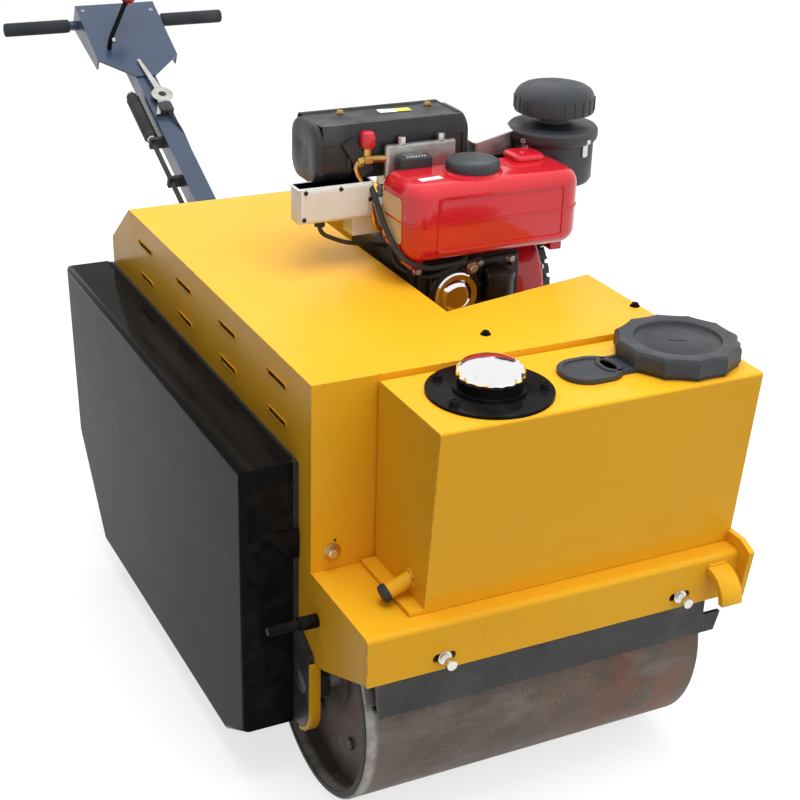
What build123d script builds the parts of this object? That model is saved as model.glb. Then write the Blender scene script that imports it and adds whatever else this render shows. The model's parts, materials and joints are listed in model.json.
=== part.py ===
from build123d import *
import os
from math import atan2, cos, radians, sin, tan

os.makedirs("parts", exist_ok=True)

# Walk-behind roller with two drums, in millimetres.
# In the machine's own measures x runs to its right seen from the front, y to the rear and z up.
# They count from the ground midway between the drums. The finished model's origin is the middle
# of its footprint, so MID_X and MID_Y below shift every plane by one fixed amount.

# Drums and their axles
DRUM_R = 200.0
DRUM_LEFT = -316.0
DRUM_RIGHT = 306.0
SHELL_T = 14.0
SHELL_CHAMFER = 5.0
DISC_T = 12.0
DISC_INSET = 42.0
DISC_BOLTS = 6
DISC_BOLT_R = 11.0
DISC_BOLT_CIRCLE = 118.0
HUB_R = 52.0
HUB_T = 6.0
AXLE_Y = 375.0
AXLE_R = 20.0
BORE_CLEARANCE = 0.05
RUNNING_GAP = 6.0

# Frame of yellow plates
FRAME_LEFT = -331.0
FRAME_RIGHT = 345.0
PLATE_T = 6.0
FLOOR_TOP = 413.0
BUMPER_FRONT = -604.0
BUMPER_REAR = 640.0
BUMPER_FACE_H = 82.0
BEND_R = 9.0
RAIL_BOTTOM = 255.0
RAIL_STRAIGHT_Y = 400.0
RAIL_KNEE_Y = 444.0
RAIL_KNEE_RISE = 7.0
STUD_SLOT_L = 40.0
STUD_SLOT_H = 16.0
STUD_Z = 352.0
STUD_XS = (-202.0, 227.0)

# Black plates that carry the axles
SIDE_PLATE_T = 10.0
BEARING_R = 33.0
BEARING_DEEP = 30.0
SIDE_PLATE_FRONT_Y = 408.0
SIDE_PLATE_LOW_Z = 112.0
SIDE_PLATE_CORNER_R = 50.0
RIGHT_PLATE_Y = 452.0
RIGHT_PLATE_LOW_Z = 128.0
RIGHT_PLATE_CORNER_R = 70.0

# Black drive cover on the left side
COVER_LEFT = -429.0
COVER_TOP = 589.0
COVER_FRONT_Y = -347.0
COVER_BOTTOM = 50.0
COVER_REAR_TOP_Y = 631.0
COVER_REAR_LOW_Y = 602.0
COVER_REAR_LOW_Z = 239.0
COVER_REAR_R = 150.0
COVER_FRONT_CHAMFER_Y = 92.0
COVER_FRONT_CHAMFER_Z = 55.0
COVER_WALL = 3.0
COVER_EDGE_R = 10.0
COVER_CLEARANCE = 2.0
BACK_PLATE_STEP_Z = 300.0

# Hood over the belt drive, with the deck in front of the engine
SHEET_T = 3.0
HOOD_TOP = 735.0
HOOD_FRONT_Y = -393.0
HOOD_INNER_X = -6.0
HOOD_SLOPE_Y = 504.0
HOOD_REAR_Y = 624.0
HOOD_REAR_Z = 643.0
DECK_RIGHT_X = 310.0
DECK_REAR_INNER_Y = -205.0
DECK_REAR_OUTER_Y = -140.0
SEAT_GAP = 0.3
SLOT_L = 79.0
SLOT_H = 9.0
SLOT_ROWS = (690.0, 626.0)
SLOT_YS = (404.0, 184.0, -36.0, -256.0)
REAR_BOX_FRONT_Y = 330.0

# Front tank
TANK_LEFT = -222.0
TANK_RIGHT = 343.0
TANK_BACK_Y = -396.0
TANK_TOP = 727.0
TANK_FRONT_TOP_Y = -600.0
TANK_FRONT_LOW_Y = -569.0
TANK_WALL = 3.0
TANK_EDGE_R = 5.0

# Fittings on the tank
BREATHER_X = -87.0
BREATHER_Y = -498.0
FLANGE_R = 98.0
FLANGE_T = 5.0
COLLAR_R = 50.0
COLLAR_H = 17.0
COLLAR_BASE_R = 56.0
COLLAR_BASE_H = 5.0
KNOB_R = 53.0
KNOB_H = 29.0
KNOB_FILLET = 9.0
FILLER_X = 250.0
FILLER_Y = -496.0
FILLER_R = 101.0
FILLER_H = 34.0
FILLER_LOBES = 12
FILLER_SCALLOP_R = 26.0
FILLER_SCALLOP_DEPTH = 5.0
FILLER_RECESS_R = 70.0
FILLER_RECESS_DEEP = 7.0
TAB_LONG = 212.0
TAB_WIDE = 88.0
TAB_T = 9.0
LUG_LONG = 118.0
LUG_WIDE = 34.0
DRAIN_Y = -520.0
DRAIN_Z = 449.0
DRAIN_R = 12.0
DRAIN_LONG = 40.0
DRAIN_DROP = 16.0
DRAIN_CAP_R = 15.0
DRAIN_CAP_LONG = 24.0

# Scraper bars with their studs
BAR_T = 8.0
BAR_LOW_Z = 264.0
BAR_TOP_Z = 372.0
BAR_LEFT_X = -316.0
BAR_RIGHT_X = 319.0
BAR_STEP_X = 285.0
BAR_STEP_Z = 298.0
BAR_SLANT = 10.0
BLADE_T = 6.0
STUD_R = 6.0
STUD_OUT = 26.0
STUD_HEAD_R = 11.0
STUD_HEAD_T = 9.0

# Tie-down hook and brackets below the rail
HOOK_X = 275.0
HOOK_WIDE = 40.0
HOOK_T = 12.0
HOOK_REACH = 50.0
HOOK_TOP_Z = 396.0
BRACKET_T = 8.0
BRACKET_WIDE = 19.0
BRACKET_CURL_DEG = 78.0

# Engine and what carries it
ENGINE_LEFT = 12.0
ENGINE_RIGHT = 232.0
ENGINE_FRONT_Y = -30.0
ENGINE_REAR_Y = 215.0
BED_H = 107.0
BED_T = 8.0
BED_FOOT = 50.0
MOUNT_R = 22.0
MOUNT_H = 16.0
CRANK_Y = 92.0
CRANK_Z = 660.0
CASE_TOP = 762.0
CASE_FILLET = 24.0
FLANGE_PAD = 14.0
CYLINDER_FRONT_Y = 62.0
CYLINDER_REAR_Y = 200.0
CYLINDER_X = 120.0
CYLINDER_WIDE = 150.0
CYLINDER_TOP = 842.0
FIN_COUNT = 7
FIN_T = 4.0
FIN_OUT = 9.0
HEAD_TOP = 874.0
HEAD_INSET = 12.0

# Red fuel tank
FUEL_LEFT = -24.0
FUEL_RIGHT = 317.0
FUEL_FRONT_Y = -100.0
FUEL_BACK_Y = 42.0
FUEL_LOW = 778.0
FUEL_TOP = 914.0
FUEL_CORNER_R = 34.0
FUEL_PANEL_DEEP = 4.0
FUEL_PANEL_EDGE = 30.0
FUEL_CAP_R = 46.0
FUEL_CAP_H = 24.0
FUEL_CAP_X = 128.0
FUEL_CAP_Y = -30.0

# Muffler
MUFFLER_LEFT = -126.0
MUFFLER_RIGHT = 168.0
MUFFLER_FRONT_Y = 60.0
MUFFLER_REAR_Y = 178.0
MUFFLER_LOW = 880.0
MUFFLER_TOP = 988.0
MUFFLER_CORNER = 26.0
MUFFLER_END_LIP = 4.0
MUFFLER_END_T = 6.0
PORT_X = 120.0
PORT_R = 24.0

# Air cleaner
CLEANER_X = 343.0
CLEANER_Y = 62.0
CLEANER_R = 83.0
CLEANER_LOW = 920.0
CLEANER_BODY_H = 34.0
NECK_R = 50.0
NECK_H = 30.0
MUSHROOM_R = 73.0
MUSHROOM_H = 46.0
DUCT_H = 46.0
DUCT_FRONT_Y = 72.0
DUCT_REAR_Y = 128.0

# Recoil starter
RECOIL_R = 122.0
RECOIL_T = 62.0
RECOIL_RING_R = 104.0
RECOIL_RING_T = 20.0
RECOIL_FINS = 24
RECOIL_CAP_R = 58.0
RECOIL_CAP_T = 8.0

# Terminal box beside the engine
BOX_LEFT = -60.0
BOX_DEEP = 40.0
BOX_LOW = 790.0
BOX_H = 52.0
BOX_Y = 56.0

# Handle: hinged to the rear bumper, rising to the grips
PIVOT_Y = 690.0
PIVOT_Z = 405.0
ARM_W = 50.0
ARM_D = 44.0
ARM_RISE_DEG = 24.6
ARM_PAST_BAR = 24.0
PIN_R = 10.0
EAR_T = 10.0
EAR_GAP = 1.0
EAR_H = 60.0
HUB_TUBE_R = 22.0
CONSOLE_TIP_Y = 1417.0
CONSOLE_RISE_DEG = 27.5
CONSOLE_HALF_W = 103.0
CONSOLE_T = 4.0
CONSOLE_TIP = 70.0
CONSOLE_LONG = 212.0
CONSOLE_FLANGE_LOW = 26.0
CONSOLE_FLANGE_HIGH = 64.0
BAR_Y = 1662.0
BAR_Z = 847.0
HANDLEBAR_R = 12.0
HANDLEBAR_HALF = 283.0
GRIP_R = 17.0
GRIP_LONG = 165.0
GRIP_END = 4.0
LEVER_PLACE = 190.0
LEVER_R = 6.0
LEVER_LONG = 96.0
KNOB_BALL_R = 19.0
STRUT_R = 17.0
STRUT_LONG = 210.0
ROD_R = 7.0
ROD_LONG = 330.0
STRUT_START = 240.0
STRUT_SIDE_GAP = 6.0
CLIP_LONG = 14.0
CLIP_H = 30.0

# What follows from these
DRUM_W = DRUM_RIGHT - DRUM_LEFT
FLOOR_LOW = FLOOR_TOP - PLATE_T
BUMPER_LOW = FLOOR_TOP - BUMPER_FACE_H
RAIL_RIGHT_IN = FRAME_RIGHT - PLATE_T
DRIVE_PLATE_OUT = FRAME_LEFT - SIDE_PLATE_T
RIGHT_PLATE_IN = RAIL_RIGHT_IN - SIDE_PLATE_T
BED_TOP = FLOOR_TOP + BED_H
ENGINE_LOW = BED_TOP + MOUNT_H
HOOD_LOW = FLOOR_TOP + SEAT_GAP
HOOK_FRONT = BUMPER_FRONT - HOOK_REACH
ARM_RISE = radians(ARM_RISE_DEG)
CLEANER_RIGHT = CLEANER_X + CLEANER_R
CONSOLE_RISE = radians(CONSOLE_RISE_DEG)
HANDLE_END = (
    CONSOLE_TIP_Y
    + (CONSOLE_TIP + CONSOLE_LONG) * cos(CONSOLE_RISE)
    + CONSOLE_FLANGE_HIGH * sin(CONSOLE_RISE)
)
MID_X = -(COVER_LEFT + CLEANER_RIGHT) / 2
MID_Y = -(HOOK_FRONT + HANDLE_END) / 2


def side_plane(x):
    """Upright plane across X at x: its own axes are the machine's y and z, its normal is +X."""
    return Plane(origin=(MID_X + x, MID_Y, 0), x_dir=(0, 1, 0), z_dir=(1, 0, 0))


def front_plane(y):
    """Upright plane across Y at y: its own axes are the machine's x and z, its normal is -Y."""
    return Plane(origin=(MID_X, MID_Y + y, 0), x_dir=(1, 0, 0), z_dir=(0, -1, 0))


def level_plane(z):
    """Level plane at height z: its own axes are the machine's x and y, its normal is +Z."""
    return Plane(origin=(MID_X, MID_Y, z), x_dir=(1, 0, 0), z_dir=(0, 0, 1))


def finish_piece(piece, name):
    """Label a piece and write its file."""
    piece.label = name
    export_step(piece, f"parts/{name}.step")


def cylinder_along_x(x0, x1, y, z, radius, mode=Mode.ADD):
    """A round bar or bore between two places on X, in the part that is being built."""
    with Locations(side_plane(x0).location * Location((y, z, 0))):
        Cylinder(radius, x1 - x0, align=(Align.CENTER, Align.CENTER, Align.MIN), mode=mode)


# Drums: a rolled shell with a recessed disc at each end, turning with its through axle.
for place, y in (("front", -AXLE_Y), ("rear", AXLE_Y)):
    with BuildPart() as drum:
        with BuildSketch(side_plane(DRUM_LEFT)):
            with Locations((y, DRUM_R)):
                Circle(DRUM_R)
                Circle(DRUM_R - SHELL_T, mode=Mode.SUBTRACT)
        extrude(amount=DRUM_W)
        rims = drum.edges().filter_by(GeomType.CIRCLE).sort_by(SortBy.RADIUS)[-2:]
        chamfer(rims, length=SHELL_CHAMFER)
        for disc_x, out in ((DRUM_LEFT + DISC_INSET, -1), (DRUM_RIGHT - DISC_INSET, 1)):
            with BuildSketch(side_plane(disc_x)):
                with Locations((y, DRUM_R)):
                    Circle(DRUM_R - SHELL_T)
            extrude(amount=-out * DISC_T)
            with BuildSketch(side_plane(disc_x)):
                with Locations((y, DRUM_R)):
                    Circle(HUB_R)
                    with PolarLocations(DISC_BOLT_CIRCLE, DISC_BOLTS):
                        RegularPolygon(DISC_BOLT_R, 6)
            extrude(amount=out * HUB_T)
        cylinder_along_x(DRUM_LEFT, DRUM_RIGHT, y, DRUM_R, AXLE_R + BORE_CLEARANCE, Mode.SUBTRACT)
    finish_piece(drum.part, f"drum_{place}")

    with BuildPart() as axle:
        cylinder_along_x(DRIVE_PLATE_OUT, RAIL_RIGHT_IN - BORE_CLEARANCE, y, DRUM_R, AXLE_R)
    finish_piece(axle.part, f"axle_{place}")


# Side rails: deepest between the drums, rising towards both bumpers.
rail_front, rail_rear = BUMPER_FRONT + PLATE_T, BUMPER_REAR - PLATE_T
rail_knee_z = RAIL_BOTTOM + RAIL_KNEE_RISE
for side, x in (("left", FRAME_LEFT), ("right", RAIL_RIGHT_IN)):
    with BuildPart() as rail:
        with BuildSketch(side_plane(x)):
            with BuildLine():
                Polyline(
                    (rail_front, FLOOR_LOW),
                    (rail_front, BUMPER_LOW),
                    (-RAIL_KNEE_Y, rail_knee_z),
                    (-RAIL_STRAIGHT_Y, RAIL_BOTTOM),
                    (RAIL_STRAIGHT_Y, RAIL_BOTTOM),
                    (RAIL_KNEE_Y, rail_knee_z),
                    (rail_rear, BUMPER_LOW),
                    (rail_rear, FLOOR_LOW),
                    close=True,
                )
            make_face()
        extrude(amount=PLATE_T)
    finish_piece(rail.part, f"rail_{side}")

# Floor over the drums, between the two bumper sheets.
with BuildPart() as floor_plate:
    with BuildSketch(level_plane(FLOOR_LOW)):
        with Locations(((FRAME_LEFT + FRAME_RIGHT) / 2, 0)):
            Rectangle(FRAME_RIGHT - FRAME_LEFT, -2 * HOOD_FRONT_Y)
    extrude(amount=PLATE_T)
finish_piece(floor_plate.part, "floor_plate")

# Bumpers: one bent sheet each, its face slotted for the scraper's studs.
for place, face_y, floor_y, out in (
    ("front", BUMPER_FRONT, HOOD_FRONT_Y, -1),
    ("rear", BUMPER_REAR, -HOOD_FRONT_Y, 1),
):
    with BuildPart() as bumper:
        with BuildSketch(side_plane(FRAME_LEFT)):
            with BuildLine():
                Polyline(
                    (floor_y, FLOOR_TOP),
                    (face_y, FLOOR_TOP),
                    (face_y, BUMPER_LOW),
                    (face_y - out * PLATE_T, BUMPER_LOW),
                    (face_y - out * PLATE_T, FLOOR_LOW),
                    (floor_y, FLOOR_LOW),
                    close=True,
                )
            make_face()
        extrude(amount=FRAME_RIGHT - FRAME_LEFT)
        bend = bumper.edges().filter_by(Axis.X).group_by(Axis.Z)[-1].sort_by(Axis.Y)
        fillet(bend[0] if out < 0 else bend[-1], radius=BEND_R)
        with BuildSketch(front_plane(face_y - out * PLATE_T)):
            with Locations(*[(x, STUD_Z) for x in STUD_XS]):
                SlotOverall(STUD_SLOT_L, STUD_SLOT_H)
        extrude(amount=-out * PLATE_T, mode=Mode.SUBTRACT)
    finish_piece(bumper.part, f"bumper_{place}")

# Left axle plate: the back of the drive cover, with a lobe round the front axle.
with BuildPart() as drive_plate:
    with BuildSketch(side_plane(DRIVE_PLATE_OUT)) as drive_outline:
        with BuildLine():
            Polyline(
                (COVER_FRONT_Y + COVER_CLEARANCE, COVER_TOP - COVER_WALL),
                (COVER_FRONT_Y + COVER_CLEARANCE, BACK_PLATE_STEP_Z),
                (-SIDE_PLATE_FRONT_Y, BACK_PLATE_STEP_Z - BEARING_R),
                (-SIDE_PLATE_FRONT_Y, SIDE_PLATE_LOW_Z),
                (COVER_FRONT_Y + COVER_CLEARANCE, SIDE_PLATE_LOW_Z),
                (COVER_FRONT_Y + COVER_FRONT_CHAMFER_Y, COVER_BOTTOM),
                (COVER_REAR_LOW_Y - COVER_REAR_R, COVER_BOTTOM),
                (COVER_REAR_LOW_Y, COVER_REAR_LOW_Z),
                (COVER_REAR_TOP_Y, COVER_TOP - COVER_WALL),
                close=True,
            )
        make_face()
        lobe = drive_outline.vertices().group_by(Axis.X)[0].sort_by(Axis.Y)[0]
        fillet(lobe, radius=SIDE_PLATE_CORNER_R)
    extrude(amount=SIDE_PLATE_T)
    for y in (-AXLE_Y, AXLE_Y):
        bore_r = AXLE_R + BORE_CLEARANCE
        cylinder_along_x(DRIVE_PLATE_OUT, FRAME_LEFT, y, DRUM_R, bore_r, Mode.SUBTRACT)
finish_piece(drive_plate.part, "drive_plate_left")

# Right axle plate, inside the right rail.
with BuildPart() as right_plate:
    with BuildSketch(side_plane(RIGHT_PLATE_IN)) as right_outline:
        with Locations((0, (FLOOR_LOW + RIGHT_PLATE_LOW_Z) / 2)):
            Rectangle(2 * RIGHT_PLATE_Y, FLOOR_LOW - RIGHT_PLATE_LOW_Z)
        fillet(right_outline.vertices().group_by(Axis.Y)[0], radius=RIGHT_PLATE_CORNER_R)
    extrude(amount=SIDE_PLATE_T)
    for y in (-AXLE_Y, AXLE_Y):
        cylinder_along_x(RIGHT_PLATE_IN, RAIL_RIGHT_IN, y, DRUM_R, bore_r, Mode.SUBTRACT)
finish_piece(right_plate.part, "side_plate_right")

# Bearing housings stand in the drums' recessed ends.
for side, x0 in (("left", FRAME_LEFT), ("right", RIGHT_PLATE_IN - BEARING_DEEP)):
    with BuildPart() as bearings:
        for y in (-AXLE_Y, AXLE_Y):
            with BuildSketch(side_plane(x0)):
                with Locations((y, DRUM_R)):
                    Circle(BEARING_R)
                    Circle(AXLE_R + BORE_CLEARANCE, mode=Mode.SUBTRACT)
            extrude(amount=BEARING_DEEP)
    finish_piece(bearings.part, f"bearings_{side}")

# Drive cover: a formed sheet box, open towards the axle plate.
with BuildPart() as side_cover:
    with BuildSketch(side_plane(COVER_LEFT)) as cover_outline:
        with BuildLine():
            Polyline(
                (COVER_FRONT_Y, COVER_TOP),
                (COVER_FRONT_Y, COVER_BOTTOM + COVER_FRONT_CHAMFER_Z),
                (COVER_FRONT_Y + COVER_FRONT_CHAMFER_Y, COVER_BOTTOM),
                (COVER_REAR_LOW_Y - COVER_REAR_R, COVER_BOTTOM),
                (COVER_REAR_LOW_Y, COVER_REAR_LOW_Z),
                (COVER_REAR_TOP_Y, COVER_TOP),
                close=True,
            )
        make_face()
    extrude(amount=DRIVE_PLATE_OUT - COVER_LEFT)
    outer_face = side_cover.faces().sort_by(Axis.X)[0]
    fillet(outer_face.edges(), radius=COVER_EDGE_R)
    open_side = side_cover.faces().sort_by(Axis.X)[-1]
    offset(amount=-COVER_WALL, openings=open_side)
finish_piece(side_cover.part, "side_cover")

# Hood: one folded sheet over the drive side, and the deck in front of the engine.
with BuildPart() as hood:
    with BuildSketch(level_plane(HOOD_LOW)):
        with BuildLine():
            Polyline(
                (FRAME_LEFT, HOOD_FRONT_Y),
                (DECK_RIGHT_X, HOOD_FRONT_Y),
                (DECK_RIGHT_X, DECK_REAR_OUTER_Y),
                (HOOD_INNER_X, DECK_REAR_INNER_Y),
                (HOOD_INNER_X, HOOD_REAR_Y),
                (FRAME_LEFT, HOOD_REAR_Y),
                close=True,
            )
        make_face()
    extrude(amount=HOOD_TOP - HOOD_LOW)
    with BuildSketch(side_plane(FRAME_LEFT)):
        with BuildLine():
            Polyline(
                (HOOD_SLOPE_Y, HOOD_TOP),
                (HOOD_REAR_Y, HOOD_TOP),
                (HOOD_REAR_Y, HOOD_REAR_Z),
                close=True,
            )
        make_face()
    extrude(amount=FRAME_RIGHT - FRAME_LEFT, mode=Mode.SUBTRACT)
    open_bottom = hood.faces().sort_by(Axis.Z)[0]
    offset(amount=-SHEET_T, openings=open_bottom)
    with BuildSketch(side_plane(FRAME_LEFT)):
        with Locations(*[(y, z) for z in SLOT_ROWS for y in SLOT_YS]):
            SlotOverall(SLOT_L, SLOT_H)
    extrude(amount=SHEET_T, mode=Mode.SUBTRACT)
finish_piece(hood.part, "hood")

# Rear housing: closes the machine behind the engine, with the hood's rear slope.
with BuildPart() as rear_housing:
    with BuildSketch(side_plane(HOOD_INNER_X + SEAT_GAP)):
        with BuildLine():
            Polyline(
                (REAR_BOX_FRONT_Y, HOOD_LOW),
                (REAR_BOX_FRONT_Y, HOOD_TOP),
                (HOOD_SLOPE_Y, HOOD_TOP),
                (HOOD_REAR_Y, HOOD_REAR_Z),
                (HOOD_REAR_Y, HOOD_LOW),
                close=True,
            )
        make_face()
    extrude(amount=DECK_RIGHT_X - HOOD_INNER_X - SEAT_GAP)
    open_floor = rear_housing.faces().sort_by(Axis.Z)[0]
    offset(amount=-SHEET_T, openings=open_floor)
finish_piece(rear_housing.part, "rear_housing")

# Front tank: welded sheet with a front face that leans forward.
with BuildPart() as tank:
    with BuildSketch(side_plane(TANK_LEFT)):
        with BuildLine():
            Polyline(
                (TANK_BACK_Y, HOOD_LOW),
                (TANK_BACK_Y, TANK_TOP),
                (TANK_FRONT_TOP_Y, TANK_TOP),
                (TANK_FRONT_LOW_Y, HOOD_LOW),
                close=True,
            )
        make_face()
    extrude(amount=TANK_RIGHT - TANK_LEFT)
    fillet(tank.edges().filter_by(Axis.X).group_by(Axis.Z)[-1], radius=TANK_EDGE_R)
    tank_floor = tank.faces().sort_by(Axis.Z)[0]
    offset(amount=-TANK_WALL, openings=tank_floor)
finish_piece(tank.part, "front_tank")

# Breather: a flange plate with a collar, under a round chrome knob.
with BuildPart() as breather_flange:
    for radius, height in (
        (FLANGE_R, FLANGE_T),
        (COLLAR_BASE_R, FLANGE_T + COLLAR_BASE_H),
        (COLLAR_R, FLANGE_T + COLLAR_H),
    ):
        with BuildSketch(level_plane(TANK_TOP)):
            with Locations((BREATHER_X, BREATHER_Y)):
                Circle(radius)
        extrude(amount=height)
finish_piece(breather_flange.part, "breather_flange")

with BuildPart() as breather_knob:
    with BuildSketch(level_plane(TANK_TOP + FLANGE_T + COLLAR_H)):
        with Locations((BREATHER_X, BREATHER_Y)):
            Circle(KNOB_R)
    extrude(amount=KNOB_H)
    fillet(breather_knob.edges().group_by(Axis.Z)[-1], radius=KNOB_FILLET)
finish_piece(breather_knob.part, "breather_knob")

# Filler cap: a scalloped lid with a pull tab and the lug of its strap.
with BuildPart() as filler_cap:
    with BuildSketch(level_plane(TANK_TOP)):
        with Locations((FILLER_X, FILLER_Y)):
            Circle(FILLER_R)
            scallop_centre = FILLER_R - FILLER_SCALLOP_DEPTH + FILLER_SCALLOP_R
            with PolarLocations(scallop_centre, FILLER_LOBES):
                Circle(FILLER_SCALLOP_R, mode=Mode.SUBTRACT)
    extrude(amount=FILLER_H)
    with BuildSketch(level_plane(TANK_TOP + FILLER_H)):
        with Locations((FILLER_X, FILLER_Y)):
            Circle(FILLER_RECESS_R)
    extrude(amount=-FILLER_RECESS_DEEP, mode=Mode.SUBTRACT)
    with BuildSketch(level_plane(TANK_TOP)):
        with Locations((FILLER_X - TAB_LONG / 2, FILLER_Y)):
            RectangleRounded(TAB_LONG, TAB_WIDE, TAB_WIDE / 3)
        with Locations((FILLER_X + LUG_LONG / 2, FILLER_Y)):
            RectangleRounded(LUG_LONG, LUG_WIDE, LUG_WIDE / 3)
    extrude(amount=TAB_T)
finish_piece(filler_cap.part, "filler_cap")

# Drain pipe low on the tank's left side, closed by a rubber cap.
DRAIN_SLOPE = atan2(DRAIN_DROP, DRAIN_LONG)


def drain_plane(along):
    """Plane across the drain pipe, counted from the tank's wall out along the pipe."""
    outward = (-cos(DRAIN_SLOPE), 0, -sin(DRAIN_SLOPE))
    start_x = MID_X + TANK_LEFT + along * outward[0]
    start_z = DRAIN_Z + along * outward[2]
    return Plane(origin=(start_x, MID_Y + DRAIN_Y, start_z), x_dir=(0, 1, 0), z_dir=outward)


with BuildPart() as drain_pipe:
    with BuildSketch(drain_plane(0)):
        Circle(DRAIN_R)
    extrude(amount=DRAIN_LONG)
    extrude(drain_pipe.faces().sort_by(Axis.X)[-1], amount=DRAIN_R, dir=(1, 0, 0))
    split(bisect_by=side_plane(TANK_LEFT), keep=Keep.BOTTOM)
finish_piece(drain_pipe.part, "drain_pipe")

with BuildPart() as drain_cap:
    with BuildSketch(drain_plane(DRAIN_LONG)):
        Circle(DRAIN_CAP_R)
    extrude(amount=DRAIN_CAP_LONG - DRAIN_R)
    fillet(drain_cap.edges().sort_by(Axis.X)[0], radius=DRAIN_CAP_R / 3)
finish_piece(drain_cap.part, "drain_cap")

# Scraper bars: an angle behind each bumper face whose blade ends just off the drum.
BLADE_REACH_Y = AXLE_Y + RUNNING_GAP + (DRUM_R**2 - (BAR_LOW_Z - DRUM_R) ** 2) ** 0.5
for place, face_y, out in (("front", BUMPER_FRONT, -1), ("rear", BUMPER_REAR, 1)):
    inner_y = face_y - out * PLATE_T
    with BuildPart() as scraper:
        with BuildSketch(front_plane(inner_y)):
            with BuildLine():
                Polyline(
                    (BAR_LEFT_X, BAR_TOP_Z),
                    (BAR_STEP_X, BAR_TOP_Z),
                    (BAR_STEP_X, BAR_STEP_Z),
                    (BAR_RIGHT_X, BAR_STEP_Z),
                    (BAR_RIGHT_X - BAR_SLANT, BAR_LOW_Z),
                    (BAR_LEFT_X + BAR_SLANT, BAR_LOW_Z),
                    close=True,
                )
            make_face()
        extrude(amount=out * BAR_T)
        bar_in = inner_y - out * BAR_T
        blade_end = out * BLADE_REACH_Y
        with BuildSketch(level_plane(BAR_LOW_Z)):
            with Locations(((DRUM_LEFT + DRUM_RIGHT) / 2, (bar_in + blade_end) / 2)):
                Rectangle(DRUM_W - 2 * BAR_SLANT, abs(bar_in - blade_end))
        extrude(amount=BLADE_T)
        for x in STUD_XS:
            with BuildSketch(front_plane(inner_y)):
                with Locations((x, STUD_Z)):
                    Circle(STUD_R + BORE_CLEARANCE)
            extrude(amount=out * BAR_T, mode=Mode.SUBTRACT)
    finish_piece(scraper.part, f"scraper_{place}")

# Studs that hold the scraper bars, standing out through the bumpers' slots.
with BuildPart() as scraper_studs:
    for face_y, out in ((BUMPER_FRONT, -1), (BUMPER_REAR, 1)):
        for x in STUD_XS:
            bar_back = face_y - out * (PLATE_T + BAR_T)
            with BuildSketch(front_plane(bar_back)):
                with Locations((x, STUD_Z)):
                    Circle(STUD_R)
            extrude(amount=-out * (PLATE_T + BAR_T + STUD_OUT))
            with BuildSketch(front_plane(face_y + out * (STUD_OUT - STUD_HEAD_T))):
                with Locations((x, STUD_Z)):
                    Circle(STUD_HEAD_R)
            extrude(amount=-out * STUD_HEAD_T)
finish_piece(scraper_studs.part, "scraper_studs")

# Tie-down hook: a quarter ring of plate on the front bumper.
with BuildPart() as tie_hook:
    with BuildSketch(side_plane(HOOK_X)):
        with Locations((BUMPER_FRONT, HOOK_TOP_Z - HOOK_REACH)):
            Circle(HOOK_REACH)
            Circle(HOOK_REACH - HOOK_T, mode=Mode.SUBTRACT)
            Rectangle(HOOK_REACH, HOOK_REACH, align=(Align.MAX, Align.MIN), mode=Mode.INTERSECT)
    extrude(amount=HOOK_WIDE)
finish_piece(tie_hook.part, "tie_hook")

# Flat bar that curls from the left rail round the front lobe of the axle plate.
with BuildPart() as plate_bracket:
    bracket_r = SIDE_PLATE_CORNER_R + SEAT_GAP + BRACKET_T / 2
    bracket_y = -SIDE_PLATE_FRONT_Y - SEAT_GAP - BRACKET_T / 2
    with BuildSketch(side_plane(DRIVE_PLATE_OUT)):
        with BuildLine():
            corner_z = SIDE_PLATE_LOW_Z + SIDE_PLATE_CORNER_R
            down = Line((bracket_y, RAIL_BOTTOM), (bracket_y, corner_z))
            JernArc(down @ 1, down % 1, bracket_r, BRACKET_CURL_DEG)
        trace(line_width=BRACKET_T)
    extrude(amount=BRACKET_WIDE)
finish_piece(plate_bracket.part, "plate_bracket")

# Engine bed: a folded table on the floor, with four rubber mounts on top.
MOUNT_XS = (ENGINE_LEFT + BED_FOOT / 2 + FLANGE_PAD, ENGINE_RIGHT - BED_FOOT / 2)
MOUNT_YS = (ENGINE_FRONT_Y + BED_FOOT / 2, ENGINE_REAR_Y - BED_FOOT / 2)
with BuildPart() as engine_bed:
    bed_left, bed_right = HOOD_INNER_X + SEAT_GAP, DECK_RIGHT_X
    bed_mid_x = (bed_left + bed_right) / 2
    with BuildSketch(level_plane(BED_TOP - BED_T)):
        with Locations((bed_mid_x, (ENGINE_FRONT_Y + ENGINE_REAR_Y) / 2)):
            Rectangle(bed_right - bed_left, ENGINE_REAR_Y - ENGINE_FRONT_Y + BED_FOOT)
    extrude(amount=BED_T)
    for leg_y in (ENGINE_FRONT_Y - BED_FOOT / 2 + BED_T / 2, ENGINE_REAR_Y + BED_FOOT / 2 - BED_T / 2):
        with BuildSketch(level_plane(FLOOR_TOP)):
            with Locations((bed_mid_x, leg_y)):
                Rectangle(bed_right - bed_left, BED_T)
        extrude(amount=BED_H - BED_T)
finish_piece(engine_bed.part, "engine_bed")

with BuildPart() as engine_mounts:
    with BuildSketch(level_plane(BED_TOP)):
        with Locations(*[(x, y) for x in MOUNT_XS for y in MOUNT_YS]):
            Circle(MOUNT_R)
    extrude(amount=MOUNT_H)
finish_piece(engine_mounts.part, "engine_mounts")

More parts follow.
